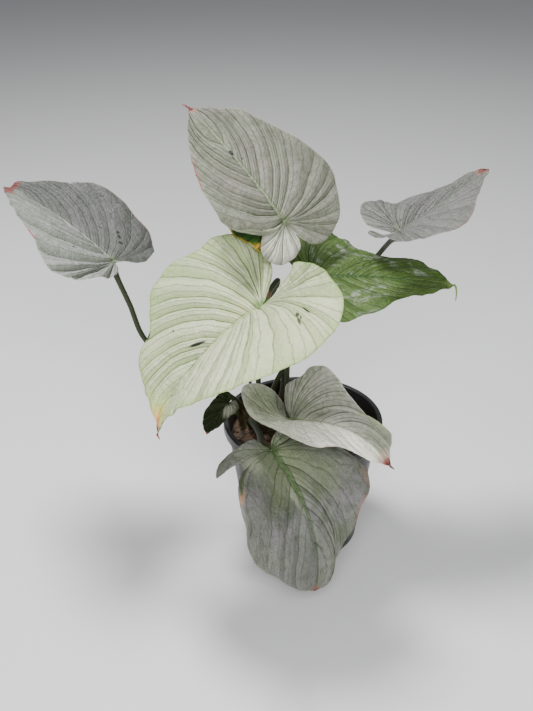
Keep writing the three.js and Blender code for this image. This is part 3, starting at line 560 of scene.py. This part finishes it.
def stem_parts():
    """The stem, ringed where each petiole leaves it, and its roots."""
    path = along_path(stem_line, np.linspace(0, 1, 90))
    length = run_along(stem_line)[-1]
    rings = [np.argmin(np.linalg.norm(path - stem_point(leaf.petiole.at), axis=1)) / 89 * length
             for leaf in LEAVES.values()]

    def radius(run, total, angle):
        ring = max(exp(-((run - place) / 1.5) ** 2) for place in rings)
        t = run / total
        ends = sqrt(min(1, .35 + 9 * t, .3 + 7 * (1 - t)))
        uneven = 1 + .025 * np.sin(5 * angle + run * .4) + .02 * np.cos(11 * angle - run)
        return (STEM_RADIUS + .9 * ring) * ends * uneven

    def root_radius(run, total, angle):
        return 1.5 * (1 - .3 * run / total) * (1 + .04 * np.sin(3 * angle + run))

    parts = [tube(path, radius, 40)]
    for x, row, lean, reach in ROOTS:
        start = stem_point(x)
        knee = start + np.array([lean, row * (7.6 + reach / 2), -2])
        end = start + np.array([2 * lean, row * (7.6 + reach), 0])
        end[2] = SOIL_TOP - 9
        line = catmull([start + np.array([0, row * 5.6, 0]), knee, end], 20)
        parts.append(tube(along_path(line, np.linspace(0, 1, 24)), root_radius, 12))
    return join(parts)


def pot_inner(z):
    return POT.base + (POT.rim - POT.lip_width - POT.base) * z / POT.height - POT.wall


def polar(r, a, z):
    return r * cos(a), r * sin(a), z


def lathe(profile, segments):
    """Points and faces of a profile (radius, height) turned about the middle."""
    points, rings = [], []
    angles = 2 * pi * np.arange(segments) / segments
    for r, z in profile:
        ring = [(0, 0, z)] if r < 1e-6 else [polar(r, a, z) for a in angles]
        rings.append(list(range(len(points), len(points) + len(ring))))
        points += ring
    return np.array(points, float), bridge(rings)


def rounded(points, radius, steps=4):
    out = [points[0]]
    for a, b, c in zip(points, points[1:], points[2:]):
        a, b, c = (np.array(q, float) for q in (a, b, c))
        r = min(radius, .45 * np.linalg.norm(a - b), .45 * np.linalg.norm(c - b))
        p, q = b + unit(a - b) * r, b + unit(c - b) * r
        out += [tuple((1 - t) ** 2 * p + 2 * t * (1 - t) * b + t ** 2 * q) for t in np.linspace(0, 1, steps + 1)]
    return out + [points[-1]]


def make_pot():
    """The round pot with its lip and its drain holes."""
    h, lip, w = POT.height, POT.lip, POT.wall
    profile = [(0, 0), (POT.base, 0), *((pot_inner(z) + w, z) for z in (4, 30, 60, h - lip)),
               (POT.rim, h - lip + .6), (POT.rim, h - .2), (pot_inner(h), h - .2), (pot_inner(60), 60),
               (pot_inner(w), w), (0, w)]
    obj = make_mesh("pot_shell", *lathe(rounded(profile, .9), 128))
    cutter, radius = bmesh.new(), DRAINS.radius
    for k in range(DRAINS.count):
        spot = Matrix.Translation(polar(DRAINS.place, 2 * pi * k / DRAINS.count, .001))
        bmesh.ops.create_cone(cutter, cap_ends=True, segments=28, radius1=radius, radius2=radius, depth=.01,
                              matrix=spot)
    mesh = bpy.data.meshes.new("drain_cut")
    cutter.to_mesh(mesh)
    cut = put("drain_cut", mesh)
    mod = obj.modifiers.new("drain", "BOOLEAN")
    mod.object, mod.operation, mod.solver = cut, "DIFFERENCE", "EXACT"
    bpy.context.view_layer.update()
    done = bpy.data.meshes.new_from_object(obj.evaluated_get(bpy.context.evaluated_depsgraph_get()))
    obj.modifiers.clear()
    obj.data = done
    bpy.data.objects.remove(cut)
    done.polygons.foreach_set("use_smooth", [True] * len(done.polygons))
    done.set_sharp_from_angle(angle=radians(40))
    return obj


def bark_chip(r, size):
    """A worn nugget of bark: a split block with rounded, dented corners."""
    bm = bmesh.new()
    bmesh.ops.create_icosphere(bm, subdivisions=2, radius=1)
    p = np.array([v.co[:] for v in bm.verts])
    faces = [[v.index for v in f.verts] for f in bm.faces]
    bm.free()
    p = np.sign(p) * np.abs(p) ** .55
    p = p * (1 + .096 * r.standard_normal((len(p), 1)))
    half = np.array([size / 2, size * r.uniform(.45, .75) / 2, size * r.uniform(.28, .5) / 2])
    p[:, 0] += .25 * p[:, 1] * r.uniform(-1, 1)
    return p * half, faces


def make_soil():
    """The mix that fills the pot, and loose bark chips on it, lower along the stem."""
    top = rounded([(pot_inner(SOIL_TOP - 3) - .3, SOIL_TOP - 3), (pot_inner(SOIL_TOP) - 6, SOIL_TOP),
                   (30, SOIL_TOP + 1), (0, SOIL_TOP + .4)], 3)
    points, faces = lathe([(0, 1.9), (pot_inner(1.9) - .3, 1.9)] + top, 72)
    parts = [(points, faces, np.hstack([points * .6, np.tile([.2, .3, 0], (len(points), 1))]))]
    r = np.random.default_rng(77)
    stem_points = along_path(stem_line, np.linspace(0, 1, 60))
    for number in range(BIG_CHIPS + SMALL_CHIPS):
        size = r.uniform(5, 15) if number < BIG_CHIPS else r.uniform(2.5, 6)
        radius, turn = (pot_inner(SOIL_TOP) - size * .55 - 1) * sqrt(r.random()), r.uniform(0, 2 * pi)
        spot = np.array(polar(radius, turn, SOIL_TOP + r.uniform(-1.2, 2.2)))
        if np.min(np.linalg.norm((stem_points - spot)[:, :2], axis=1)) < 8 + size * .3:
            spot[2] -= 2.5
        local, chip_faces = bark_chip(r, size)
        ax, ay, az = r.normal(0, .3), r.normal(0, .3), r.uniform(0, 2 * pi)
        turned = np.array(Matrix.Rotation(az, 3, "Z") @ Matrix.Rotation(ay, 3, "Y") @ Matrix.Rotation(ax, 3, "X"))
        tone = np.tile([r.random(), r.random() ** 2, 0], (len(local), 1))
        parts.append((local @ turned.T + spot, chip_faces, np.hstack([local + r.uniform(0, 99, 3), tone])))
    points, faces, both = join(parts)
    return make_mesh("bark_potting_mix", points, faces, {"grain": both[:, :3], "tone": both[:, 3:]}, smooth=False)


class Mat:
    """Wires one procedural material, whose colour is painted one tone over the other."""

    def __init__(self, name, colour=None):
        self.mat = bpy.data.materials.new(name)
        self.mat.use_nodes = True
        self.tree = self.mat.node_tree
        self.tree.nodes.clear()
        self.colour = colour

    def node(self, kind, inputs, **props):
        node = self.tree.nodes.new("ShaderNode" + kind)
        for key, value in props.items():
            setattr(node, key, value)
        for key, value in inputs.items():
            if isinstance(value, bpy.types.NodeSocket):
                self.tree.links.new(value, node.inputs[key])
            else:
                node.inputs[key].default_value = value
        return node

    def math(self, op, a, b=0, c=0):
        return self.node("Math", {0: a, 1: b, 2: c}, operation=op).outputs[0]

    def add(self, a, b):
        return self.math("ADD", a, b)

    def mul(self, *factors):
        return functools.reduce(lambda a, b: self.math("MULTIPLY", a, b), factors)

    def mad(self, a, factor, more):
        return self.math("MULTIPLY_ADD", a, factor, more)

    def step(self, x, lo, hi, to=(0, 1)):
        return self.node("MapRange", {"Value": x, "From Min": lo, "From Max": hi, "To Min": to[0], "To Max": to[1]},
                         interpolation_type="SMOOTHSTEP").outputs[0]

    def fall(self, x, lo, hi):
        return self.step(x, lo, hi, (1, 0))

    def mix(self, share, a, b, blend="MIX"):
        a, b = (v if isinstance(v, bpy.types.NodeSocket) else (*v, 1) for v in (a, b))
        return self.node("Mix", {0: share, 6: a, 7: b}, data_type="RGBA", blend_type=blend).outputs[2]

    def paint(self, tone, *shares):
        """Lays a tone over the colour, as much as the product of the shares."""
        self.colour = self.mix(self.mul(*shares), self.colour, tone)

    def vec(self, x, y, z=0):
        return self.node("CombineXYZ", {0: x, 1: y, 2: z}).outputs[0]

    def split(self, vector):
        return self.node("SeparateXYZ", {0: vector}).outputs

    def length(self, x, y):
        return self.node("VectorMath", {0: self.vec(x, y)}, operation="LENGTH").outputs["Value"]

    def attr(self, name):
        return self.node("Attribute", {}, attribute_name=name).outputs["Vector"]

    def place(self):
        return self.node("TexCoord", {}).outputs["Object"]

    def noise(self, vector, scale, detail=3, rough=.55, warp=0):
        return self.node("TexNoise", {"Vector": vector, "Scale": scale, "Detail": detail, "Roughness": rough,
                                      "Distortion": warp}).outputs[0]

    def pebbles(self, vector, scale):
        cells = self.node("TexVoronoi", {"Vector": vector, "Scale": scale}, feature="DISTANCE_TO_EDGE")
        return cells.outputs["Distance"]

    def spot(self, x, y, centre, half, turn, soft):
        """1 inside an ellipse with these half sizes, turned by so many degrees."""
        c, s = cos(radians(turn)), sin(radians(turn))
        dx, dy = self.add(x, -centre[0]), self.add(y, -centre[1])
        along = self.mad(dx, c / half[0], self.mul(dy, s / half[0]))
        across = self.mad(dx, -s / half[1], self.mul(dy, c / half[1]))
        return self.fall(self.length(along, across), 1 - soft, 1 + soft)

    def finish(self, rough, height=None, depth=.0004, strength=1, gloss=.5):
        inputs = {"Base Color": self.colour, "Roughness": rough, "Specular IOR Level": gloss}
        if height is not None:
            bump = self.node("Bump", {"Height": height, "Distance": depth, "Strength": strength})
            inputs["Normal"] = bump.outputs[0]
        shader = self.node("BsdfPrincipled", inputs)
        self.node("OutputMaterial", {0: shader.outputs[0]})
        return self.mat


# How a blade is coloured. pale, shade and tint make the variegation; mottle is how much shade shows, blotch
# how much of it lies in blots and not in streaks, silver a green blade's flakes. pleat is painted light and
# shade on each pleat between two veins, as if lit from one side (lit says which): a painted highlight by one
# vein and painted shade deepening the tone towards the next, as firmly on the left and the right half as firm
# says; line is how strongly the veins show in the tone vein, which is their own darker green and painted shade
# in their furrows. The midrib's band in the tone rib fades between two shares of the length, and a line as
# strong as axis goes on. root is the tone at the petiole, edge the margin's, rim wide and spread inwards by
# glow; under is the lower face, and sides lightens the right and left half, or darkens it: painted light and
# shade, lighter on the half that the light falls on. tip is (distance, tone) for each stage of the tip, drawn
# out across the tip where blunt is under 1. The patches, soft, and marks, crisp, are ellipses: tone, x, y, two
# half sizes, turn and strength.
LOOK = dict(lit=1, mottle=.5, blotch=.4, pleat=.4, firm=(1, 1), band=(.5, .9), axis=.6, rim=.9, blunt=1, gloss=.4,
            silver=None, sides=None, glow=None, patches=(), marks=())
DARK, RED = (.012, .022, .01), (.36, .095, .085)
AMBER, BLUSH = (.36, .19, .09), (.21, .068, .062)
LOOKS = {
    "front": dict(
        pale=(.6, .66, .42), shade=(.36, .46, .19), tint=(.66, .67, .48), mottle=.45, line=.8, vein=(.14, .22, .06),
        pleat=.5, axis=.9, band=(.12, .45), root=(.12, .24, .04), firm=(1.25, .9), rib=(.44, .58, .22),
        edge=(.3, .45, .11), rim=1.8, glow=.3, under=(.4, .48, .27),
        tip=[(38, (.54, .64, .24)), (25, (.84, .62, .19)), (17, (.8, .36, .13)), (9, (.26, .045, .03))],
        patches=[((.72, .7, .42), 6, 14, 7, 10, 20, .7), ((.72, .72, .5), -14, 8, 14, 7, 20, .4),
        ((.42, .48, .29), 58, 42, 28, 34, 30, .9), ((.6, .64, .37), -58, 2, 24, 26, 0, .6)],
        marks=[(DARK, 9.2, 54.8, 7, 1.1, 56, 1), (DARK, -49, -17.6, 4.6, .8, 176, 1),
        (DARK, -53, -8, 4.5, .9, 160, .9), (DARK, -47, -11, 2, 1.4, 0, .9), (DARK, -51.5, -11, 1.6, .8, 150, .8),
        (DARK, 33.2, 60.5, 1, .7, 0, .9), (DARK, 48.2, 75.5, 3.2, .8, 98, .9)]),
    "top": dict(
        lit=-1, pale=(.243, .25, .196), shade=(.11, .122, .075), tint=(.256, .243, .208), line=.85,
        vein=(.07, .105, .04), band=(.75, 1.1), root=(.08, .13, .035), firm=(.75, 1.2), axis=0,
        rib=(.23, .275, .165), edge=(.34, .32, .25), under=(.3, .34, .22), sides=(.97, 1.05),
        tip=[(9, (.42, .24, .18)), (5, (.22, .045, .04))],
        # The second patch, pale on the hanging lobe behind the petiole, is a painted highlight where that lobe faces
        # the light
        patches=[((.27, .31, .21), 30, 48, 9, 5, 40, .6), ((.74, .75, .62), -18, -16, 22, 12, 0, .9)],
        marks=[(RED, -42, 68, 13, 46, 25, 1), (DARK, -.3, 70, 1.4, 2.8, 0, 1), (DARK, -2.2, 65.3, 1, 1.9, 0, 1),
        (DARK, 4.1, 60.9, .9, .9, 0, .8)]),
    "left": dict(
        lit=-1, pale=(.225, .234, .212), shade=(.1, .113, .087), tint=(.234, .234, .225), mottle=.45, line=.65,
        vein=(.06, .074, .05), pleat=.55, band=(1.1, 1.3), root=(.1, .16, .04), firm=(.5, 1.6), axis=0, blunt=.45,
        rib=(.36, .375, .31), edge=(.32, .3, .275), under=(.24, .29, .18), sides=(.51, 1.45),
        tip=[(10.5, (.24, .12, .105)), (9, (.215, .068, .062)), (2, (.15, .035, .027))],
        patches=[((.12, .13, .115), -12, 84, 9, 24, -14, .6), ((.13, .14, .12), 3, 74, 7, 22, 0, .5)],
        marks=[(BLUSH, -13, 112, 20, 5.5, 46, 1), (RED, -61.7, 38.2, 6, 5, 0, 1), (RED, 62, 15, 8, 26, 0, .5),
        (DARK, 25.7, 21.3, 1.9, 1.3, 30, 1), (DARK, 23.6, 17.2, 1.5, 2, 0, 1), (DARK, 20.4, 12, 1.3, 1.9, 20, 1),
        (DARK, 17, 33, .6, 2, 10, .8), (DARK, 41.9, 55.6, .8, 1.8, 30, .8), (DARK, -35.5, 19.3, 1.2, .8, 0, 1),
        (DARK, -18.4, 41.3, .7, .7, 0, .9)]),
    "right": dict(
        pale=(.184, .186, .17), shade=(.09, .098, .078), tint=(.188, .182, .178), line=.65, vein=(.07, .08, .058),
        band=(.1, .3), root=(.12, .15, .08), firm=(.6, .6), axis=.5, blunt=.7, rib=(.19, .21, .15),
        # under is pale: painted light on the lower face of the near lobe, which hangs in shade
        edge=(.34, .32, .29), under=(.46, .46, .42),
        tip=[(13, (.26, .17, .14)), (9, (.2, .06, .045)), (4, (.11, .03, .024))],
        marks=[(DARK, -8, 7.9, .8, .8, 0, .9), (DARK, -4.5, 22.5, 1, .6, 0, .9), (DARK, 24.3, 12.7, 1, .6, 30, .9),
        (RED, 46, 30, 6, 22, 15, .2)]),
    "green": dict(
        pale=(.07, .126, .02), shade=(.033, .074, .008), tint=(.082, .135, .028), line=.8, vein=(.016, .045, .006),
        band=(.7, 1.1), root=(.03, .07, .01), axis=0, rib=(.028, .075, .01), edge=(.045, .1, .012),
        under=(.1, .16, .04), silver=(.26, .29, .24),
        tip=[(9, (.14, .22, .05))],
        patches=[((.36, .4, .33), -38, 25, 7, 3, 60, .8), ((.36, .4, .33), -31, 18, 5, 2.5, 60, .7),
        ((.38, .42, .35), -25, 61, 9, 3, 60, .8), ((.38, .42, .35), -10, 87, 8, 3, 70, .8),
        ((.36, .4, .33), 25, 40, 9, 3, -60, .7), ((.34, .38, .31), 19, 52, 7, 3, -60, .7)]),
    "mid": dict(
        pale=(.455, .475, .365), shade=(.19, .225, .125), tint=(.465, .455, .4), line=.7, vein=(.075, .105, .05),
        pleat=.25, band=(.05, .3), root=(.07, .095, .035), firm=(.3, .85), axis=.5, rib=(.16, .2, .1),
        edge=(.44, .4, .34), under=(.26, .31, .18), sides=(1.5, .53),
        tip=[(17, (.46, .36, .28)), (10, (.26, .085, .06)), (5, (.13, .03, .022))],
        # The first patch, near white on the near half, is a painted highlight; the second, dark on the lobe behind
        # the petiole, is painted shadow of the front blade
        patches=[((.67, .65, .575), 17, 38, 22, 42, 0, 1), ((.09, .105, .06), 8, -26, 19, 18, 0, .9),
        ((.22, .25, .15), -8, 16, 7, 16, 0, .5)],
        marks=[(RED, 27, 62, 5, 16, 0, .5)]),
    "bottom": dict(
        pale=(.18, .185, .158), shade=(.06, .078, .036), tint=(.172, .163, .165), mottle=.55, line=.75,
        vein=(.032, .052, .018), pleat=.1, band=(.28, .7), root=(.035, .07, .015), blotch=.8, rib=(.075, .135, .04),
        edge=(.2, .2, .13), under=(.13, .15, .09),
        tip=[(8, (.2, .09, .06)), (4, (.12, .03, .022))],
        patches=[((.27, .18, .13), -67, 60, 4, 10, 0, .5), ((.085, .088, .08), 16, 92, 26, 30, 0, .5),
        ((.36, .37, .28), 33, 2, 8, 7, 20, .85), ((.05, .062, .038), 17, 46, 10, 6, 30, .9),
        # The pale patch of tone (.38, .39, .31) beside the midrib is a painted highlight along its crest
        ((.06, .085, .03), 27, 31, 5, 12, 20, .7), ((.38, .39, .31), 6, 41, 3.5, 16, 10, .85),
        ((.32, .325, .275), 24, 16, 2.5, 8, 15, .7), ((.08, .1, .05), -14, 50, 5, 9, -30, .6),
        ((.165, .21, .095), 0, 16, 34, 26, 0, .65), ((.15, .19, .09), -34, 42, 18, 12, 40, .5),
        ((.2, .205, .18), 10, 60, 8, 14, 0, .6)],
        marks=[(AMBER, 67, 13.6, 9, 1.5, 28, .7), (RED, -50, 78, 12, 16, 0, .6)]),
    "small": dict(
        # The small blade lies under the front blade: its near-black tones are painted shadow of that blade, and the
        # pale patch is the part out of that shadow
        pale=(.01, .016, .004), shade=(.005, .009, .002), tint=(.012, .018, .005), line=.6, vein=(.004, .008, .002),
        root=(.01, .016, .004), gloss=.08, rib=(.022, .034, .01), edge=(.04, .05, .015), under=(.05, .07, .02),
        tip=[(3, (.16, .04, .02))],
        patches=[((.27, .28, .22), -9, 4, 7, 7, 30, .9)]),
    "old": dict(
        pale=(.035, .11, .012), shade=(.016, .06, .006), tint=(.05, .13, .02), line=.6, vein=(.02, .05, .01),
        root=(.03, .09, .01), rib=(.08, .17, .03), edge=(.7, .4, .03), rim=1.6, under=(.05, .12, .02),
        tip=[(9, (.8, .55, .04))],
        patches=[((.85, .55, .06), -26.5, 8.5, 3.4, 3, 0, 1), ((.75, .25, .04), -28.5, 3, 1.5, 3, 0, .8)]),
}


def blade_material(name, leaf, look):
    """A blade's skin, on its flat shape (x, y) and along its vein lines (phi, v)."""
    look, scale, length = Data(**{**LOOK, **look}), leaf.scale, leaf.length
    m = Mat(f"leaf_{name}", look.pale)
    x, y, edge = m.split(m.attr("flat"))
    phi, v, spacing = m.split(m.attr("vein"))
    seed = len(name) * 7.3 + length
    flat = m.vec(x, y, seed)
    streak = m.noise(m.vec(m.mul(phi, 3.1), m.mul(v, 3.4), seed), 1, 4, .55, .5)
    patch = m.noise(flat, .04, 4, .6, .8)
    crinkle = m.noise(flat, .32, 5, .62, .4)
    grain = m.noise(flat, 1.4, 3, .6)

    # Variegation
    m.paint(look.tint, m.step(m.noise(flat, .028, 3, .5, .6), .42, .62))
    mottle = m.add(m.mul(streak, 1 - look.blotch), m.mul(patch, look.blotch))
    least = .66 - .3 * look.mottle
    m.paint(look.shade, m.step(mottle, least, least + .2), .8)
    m.paint(look.shade, m.step(m.noise(flat, .16, 3, .5, .6), .46, .66), .4)
    m.paint(look.shade, m.step(crinkle, .5, .66), .28)
    flaky = []
    if look.silver:
        flake = m.noise(m.vec(m.mul(phi, 2.1), m.mul(v, 6), seed + 4), 1, 5, .65, .4)
        m.paint(look.silver, m.step(flake, .54, .62), .6)
        flaky = [m.step(flake, .42, .52)]
    blurred_x = m.add(x, m.mad(patch, 16 * scale, -8 * scale))
    for tone, cx, cy, rx, ry, turn, strength in look.patches:
        m.paint(tone, m.spot(blurred_x, y, (cx, cy), (rx, ry), turn, .6), *flaky, strength)

    # Pleats with painted light and shade, as if lit from one side: each deeper in tone towards one side, with a dark
    # vein line between it and the next
    firm = m.step(x, -6, 6, look.firm[::-1])
    number = m.add(phi, m.mad(crinkle, .08, -.04))
    share = m.math("FRACT", number)
    if look.lit < 0:
        share = m.math("SUBTRACT", 1, share)
    fade = m.mul(m.step(spacing, .6, 2.5), firm)
    # A painted highlight on the lit side of each pleat, then painted shade deepening towards its far side
    m.paint(look.pale, m.step(share, .04, .2), m.fall(share, .2, .5), firm, look.pleat)
    m.paint(look.shade, m.step(share, .42, .98), fade, look.pleat)
    # The dark vein lines and the fainter lines between them: partly the veins' own darker green, partly painted shade
    # in their furrows
    line = m.fall(m.mul(m.math("PINGPONG", number, .5), spacing), .10 * scale, .62 * scale)
    third = m.math("PINGPONG", m.add(phi, m.mad(crinkle, .16, -.08)), 1 / 6)
    fine_line = m.fall(m.mul(third, spacing), .08 * scale, .40 * scale)
    to_tip = m.math("SUBTRACT", length, y)
    uneven = m.mul(fade, m.step(streak, .3, .6, (.5, 1)), m.step(to_tip, 0, .4 * length, (.35, 1)),
                   m.step(v, .5, 1, (1, .4)))
    m.paint(look.vein, line, uneven, look.line)
    m.paint(look.vein, fine_line, uneven, .35 * look.line)

    # The midrib: a band between two dark lines, and past it one dark line. The dark lines are partly the rib's own
    # darker green, partly painted shade in the furrows beside the band and in the fold along the midrib
    wide = leaf.rib * scale
    from_axis = m.math("ABSOLUTE", x)
    off = m.math("DIVIDE", from_axis, m.mad(y, -1.15 / length * wide, 1.6 * wide))
    full, none = (part * length for part in look.band)
    band = m.step(y, full, none, (1, .12))
    rib = m.mul(m.fall(off, .8, 1.15), m.step(y, -4, 2), band)
    m.paint(look.vein, m.step(off, .95, 1.3), m.fall(off, 1.5, 2), m.step(y, 3, 14), band, look.line)
    m.paint(look.rib, rib, .85)
    m.paint(look.vein, m.fall(from_axis, .6 * scale, 1.6 * scale), m.step(y, .5 * full, none), look.axis)
    m.paint(look.root, m.fall(m.length(x, y), 1.5 * scale, 10 * scale), .75)
    # Painted light and shade: the half that the light falls on is made lighter and the other darker, by the factors
    # in sides
    if look.sides:
        level = m.step(x, -6, 6, look.sides[::-1])
        m.colour = m.mix(1, m.colour, m.vec(level, level, level), "MULTIPLY")

    # Margin, specks, marks and tip
    if look.glow:
        m.paint(look.edge, m.step(edge, 1, 12, (look.glow, 0)))
    # The thin margin line in the tone edge: the margin's own tone, and on the silver blades (top, left, right), whose
    # edge is paler, also a painted thin highlight along the margin
    m.paint(look.edge, m.fall(edge, .3 * look.rim, look.rim), .6)
    m.paint(look.vein, m.step(m.noise(flat, .5, 2, .7, .3), .77, .80), .7)
    margin = m.fall(m.mad(m.noise(flat, .12, 3), -1.3, edge), .1, 1.3)
    grainy_x = m.add(x, m.mad(grain, .9, -.45))
    for tone, cx, cy, rx, ry, turn, strength in look.marks:
        spot = m.spot(grainy_x, y, (cx, cy), (rx, ry), turn, .35)
        m.paint(tone, spot, *[margin] * (tone == RED), strength)
    from_tip = m.add(m.length(m.mul(x, look.blunt), to_tip), m.mad(m.noise(flat, .2, 3), 4, -2))
    for far, tone in look.tip:
        m.paint(tone, m.fall(from_tip, far * .5, far))

    # The lower face, and a bump of pebbled grain, crinkles and veins
    below = m.mix(m.mul(m.math("MAXIMUM", line, rib), .5), look.under, look.rib)
    m.paint(m.mix(m.mul(patch, .5), below, look.shade), m.split(m.attr("face"))[0])
    moved = m.node("VectorMath", {0: flat, 1: m.vec(crinkle, grain)}, operation="ADD").outputs[0]
    pebble = m.step(m.pebbles(moved, .42), 0, .5)
    height = m.mad(grain, .12, m.mad(pebble, .06, m.mul(crinkle, .7)))
    seams = m.mul(m.math("MAXIMUM", line, fine_line), m.math("MINIMUM", firm, 1))
    return m.finish(m.step(m.noise(flat, .3, 3), .3, .7, (.36, .52)), m.mad(seams, -.3, height), .0022, 1, look.gloss)


def petiole_material():
    """Dark green with fine lines, brown at its foot, and a red band below a pale neck."""
    m = Mat("petiole_skin", (.013, .020, .005))
    turn, run, left = m.split(m.attr("tube"))
    line = m.noise(m.vec(m.mul(turn, 9), m.mul(run, .03)), 1.6, 4, .6)
    fleck = m.noise(m.vec(m.mul(turn, 6), m.mul(run, .16)), 2.2, 3, .7)
    m.paint((.030, .040, .012), m.step(line, .35, .65))
    m.paint((.10, .11, .05), m.step(fleck, .56, .66), .2)
    m.paint((.055, .034, .016), m.fall(run, 10, 45), .8)
    m.paint((.12, .19, .045), m.fall(left, 10, 30), .7)
    m.paint((.17, .07, .055), m.step(left, 14, 16), m.fall(left, 22, 24), .8)
    return m.finish(m.step(line, .3, .7, (.35, .5)), line, .0003, .6, .3)


def stem_material():
    """Fibrous brown bark with green showing through."""
    m = Mat("stem_skin", (.055, .042, .018))
    turn, run, left = m.split(m.attr("tube"))
    fibre = m.noise(m.vec(m.mul(turn, 14), m.mul(run, .05), left), 2.4, 5, .65)
    m.paint((.16, .12, .055), m.step(fibre, .35, .65))
    m.paint((.13, .15, .05), m.step(m.noise(m.place(), 240, 4, .6), .48, .62))
    return m.finish(m.step(fibre, .3, .7, (.6, .85)), fibre, .0008)


def soil_material():
    """Bark chips, each with its own tone, age and grain, and dirt over them."""
    m = Mat("bark_mix", (.028, .015, .008))
    tone, age, _ = m.split(m.attr("tone"))
    x, y, z = m.split(m.attr("grain"))
    fibre = m.noise(m.vec(m.mul(x, .25), y, m.mul(z, 1.6)), .8, 5, .65, .3)
    m.paint((.10, .054, .028), tone)
    m.paint((.17, .10, .055), m.step(fibre, .4, .62))
    m.paint((.09, .075, .055), age, .5)
    m.paint((.02, .013, .008), m.step(m.noise(m.place(), 300, 3), .45, .6), .55)
    return m.finish(m.step(fibre, .3, .7, (.7, .95)), fibre, .0009)


def pot_material():
    """Black moulded plastic with flow lines, dust and scuffs."""
    m = Mat("pot_plastic", (.012, .012, .013))
    place = m.place()
    x, y, z = m.split(place)
    flow = m.noise(m.vec(m.mul(x, .2), m.mul(y, .2), z), 60, 3, .6)
    scuff = m.noise(m.vec(x, y, m.mul(z, .15)), 220, 5, .75)
    m.paint((.03, .028, .026), m.step(m.noise(place, 26, 4, .6), .45, .75), .35)
    m.paint((.075, .07, .066), m.step(scuff, .62, .74), .35)
    return m.finish(m.step(flow, .3, .7, (.36, .5)), m.noise(place, 900, 2, .5), .0001, .5, .45)


def dress(obj, material, slot, *nodes):
    """A piece's material and body, and the nodes that it stands for. slot is not used."""
    obj.data.materials.clear()
    obj.data.materials.append(material)
    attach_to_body(obj, "root")
    if nodes:
        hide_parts(*nodes)


SLOTS = dict(front="leaf_cream", top="leaf_silver", left="leaf_silver", right="leaf_silver", green="leaf_green",
             mid="leaf_mottled", bottom="leaf_mottled", small="leaf_dark", old="leaf_dark")
PALE_NECK = "front"     # the one petiole whose upper end is pale with a red band
skin = petiole_material()
bark = stem_material()
for number, (name, leaf) in enumerate(LEAVES.items()):
    dress(blade(f"leaf_blade_{name}", leaf, number * 13 + 5), blade_material(name, leaf, LOOKS[name]), SLOTS[name],
          f"blade_{name}")
    points, faces, coords = petiole(leaf)
    coords[:, 2] += 0 if name == PALE_NECK else 60
    dress(make_mesh(f"leaf_stalk_{name}", points, faces, {"tube": coords}), skin, "petiole", f"petiole_{name}")
points, faces, coords = stem_parts()
dress(make_mesh("creeping_stem", points, faces, {"tube": coords}), bark, "stem", "stem")
points, faces, coords = join([sheath(leaf, 40 + k) for k, leaf in enumerate(LEAVES.values())])
dress(make_mesh("dry_sheaths", points, faces, {"tube": coords}), bark, "stem")
dress(make_soil(), soil_material(), "bark_mix", "soil")
dress(make_pot(), pot_material(), "pot_plastic", "pot")

# The studio: a pale floor, four soft lights and the camera at the photograph's angle
floor_corners = [(-6000, -4000, 0), (6000, -4000, 0), (6000, 8000, 0), (-6000, 8000, 0)]
floor = make_mesh("studio_floor", floor_corners, [[0, 1, 2, 3]])
paper = Mat("studio_paper", (.78, .78, .78))
paper.paint((.80, .80, .80), paper.noise(paper.place(), 3, 2))
floor.data.materials.append(paper.finish(.8))


def area_light(name, place, aim, size, power):
    data = bpy.data.lights.new(name, "AREA")
    data.shape, data.size, data.energy = "DISK", size, power
    obj = put(name, data)
    obj.location = place
    obj.rotation_euler = (Vector(aim) - Vector(place)).to_track_quat("-Z", "Y").to_euler()


area_light("key", (-.35, .22, 1.5), (-.03, -.02, .24), .4, 26)
area_light("front", (0, -1.1, .95), (-.03, -.02, .24), .6, 17.5)
area_light("low", (.1, -1.0, .12), (-.02, -.05, .2), .5, 4)
area_light("back", (.3, 1.3, 1.3), (0, 0, .25), 1.0, 2)
world = bpy.data.worlds.new("studio")
world.use_nodes = True
sky = world.node_tree.nodes["Background"].inputs
sky[0].default_value, sky[1].default_value = (.85, .88, .92, 1), .2
bpy.context.scene.world = world

camera = bpy.data.cameras.new("camera")
camera.lens, camera.sensor_width = 50, 36
view = put("camera", camera)
view.location = (-.032, -.7266, .6025)
view.rotation_euler = (radians(60), 0, 0)
bpy.context.scene.camera = view
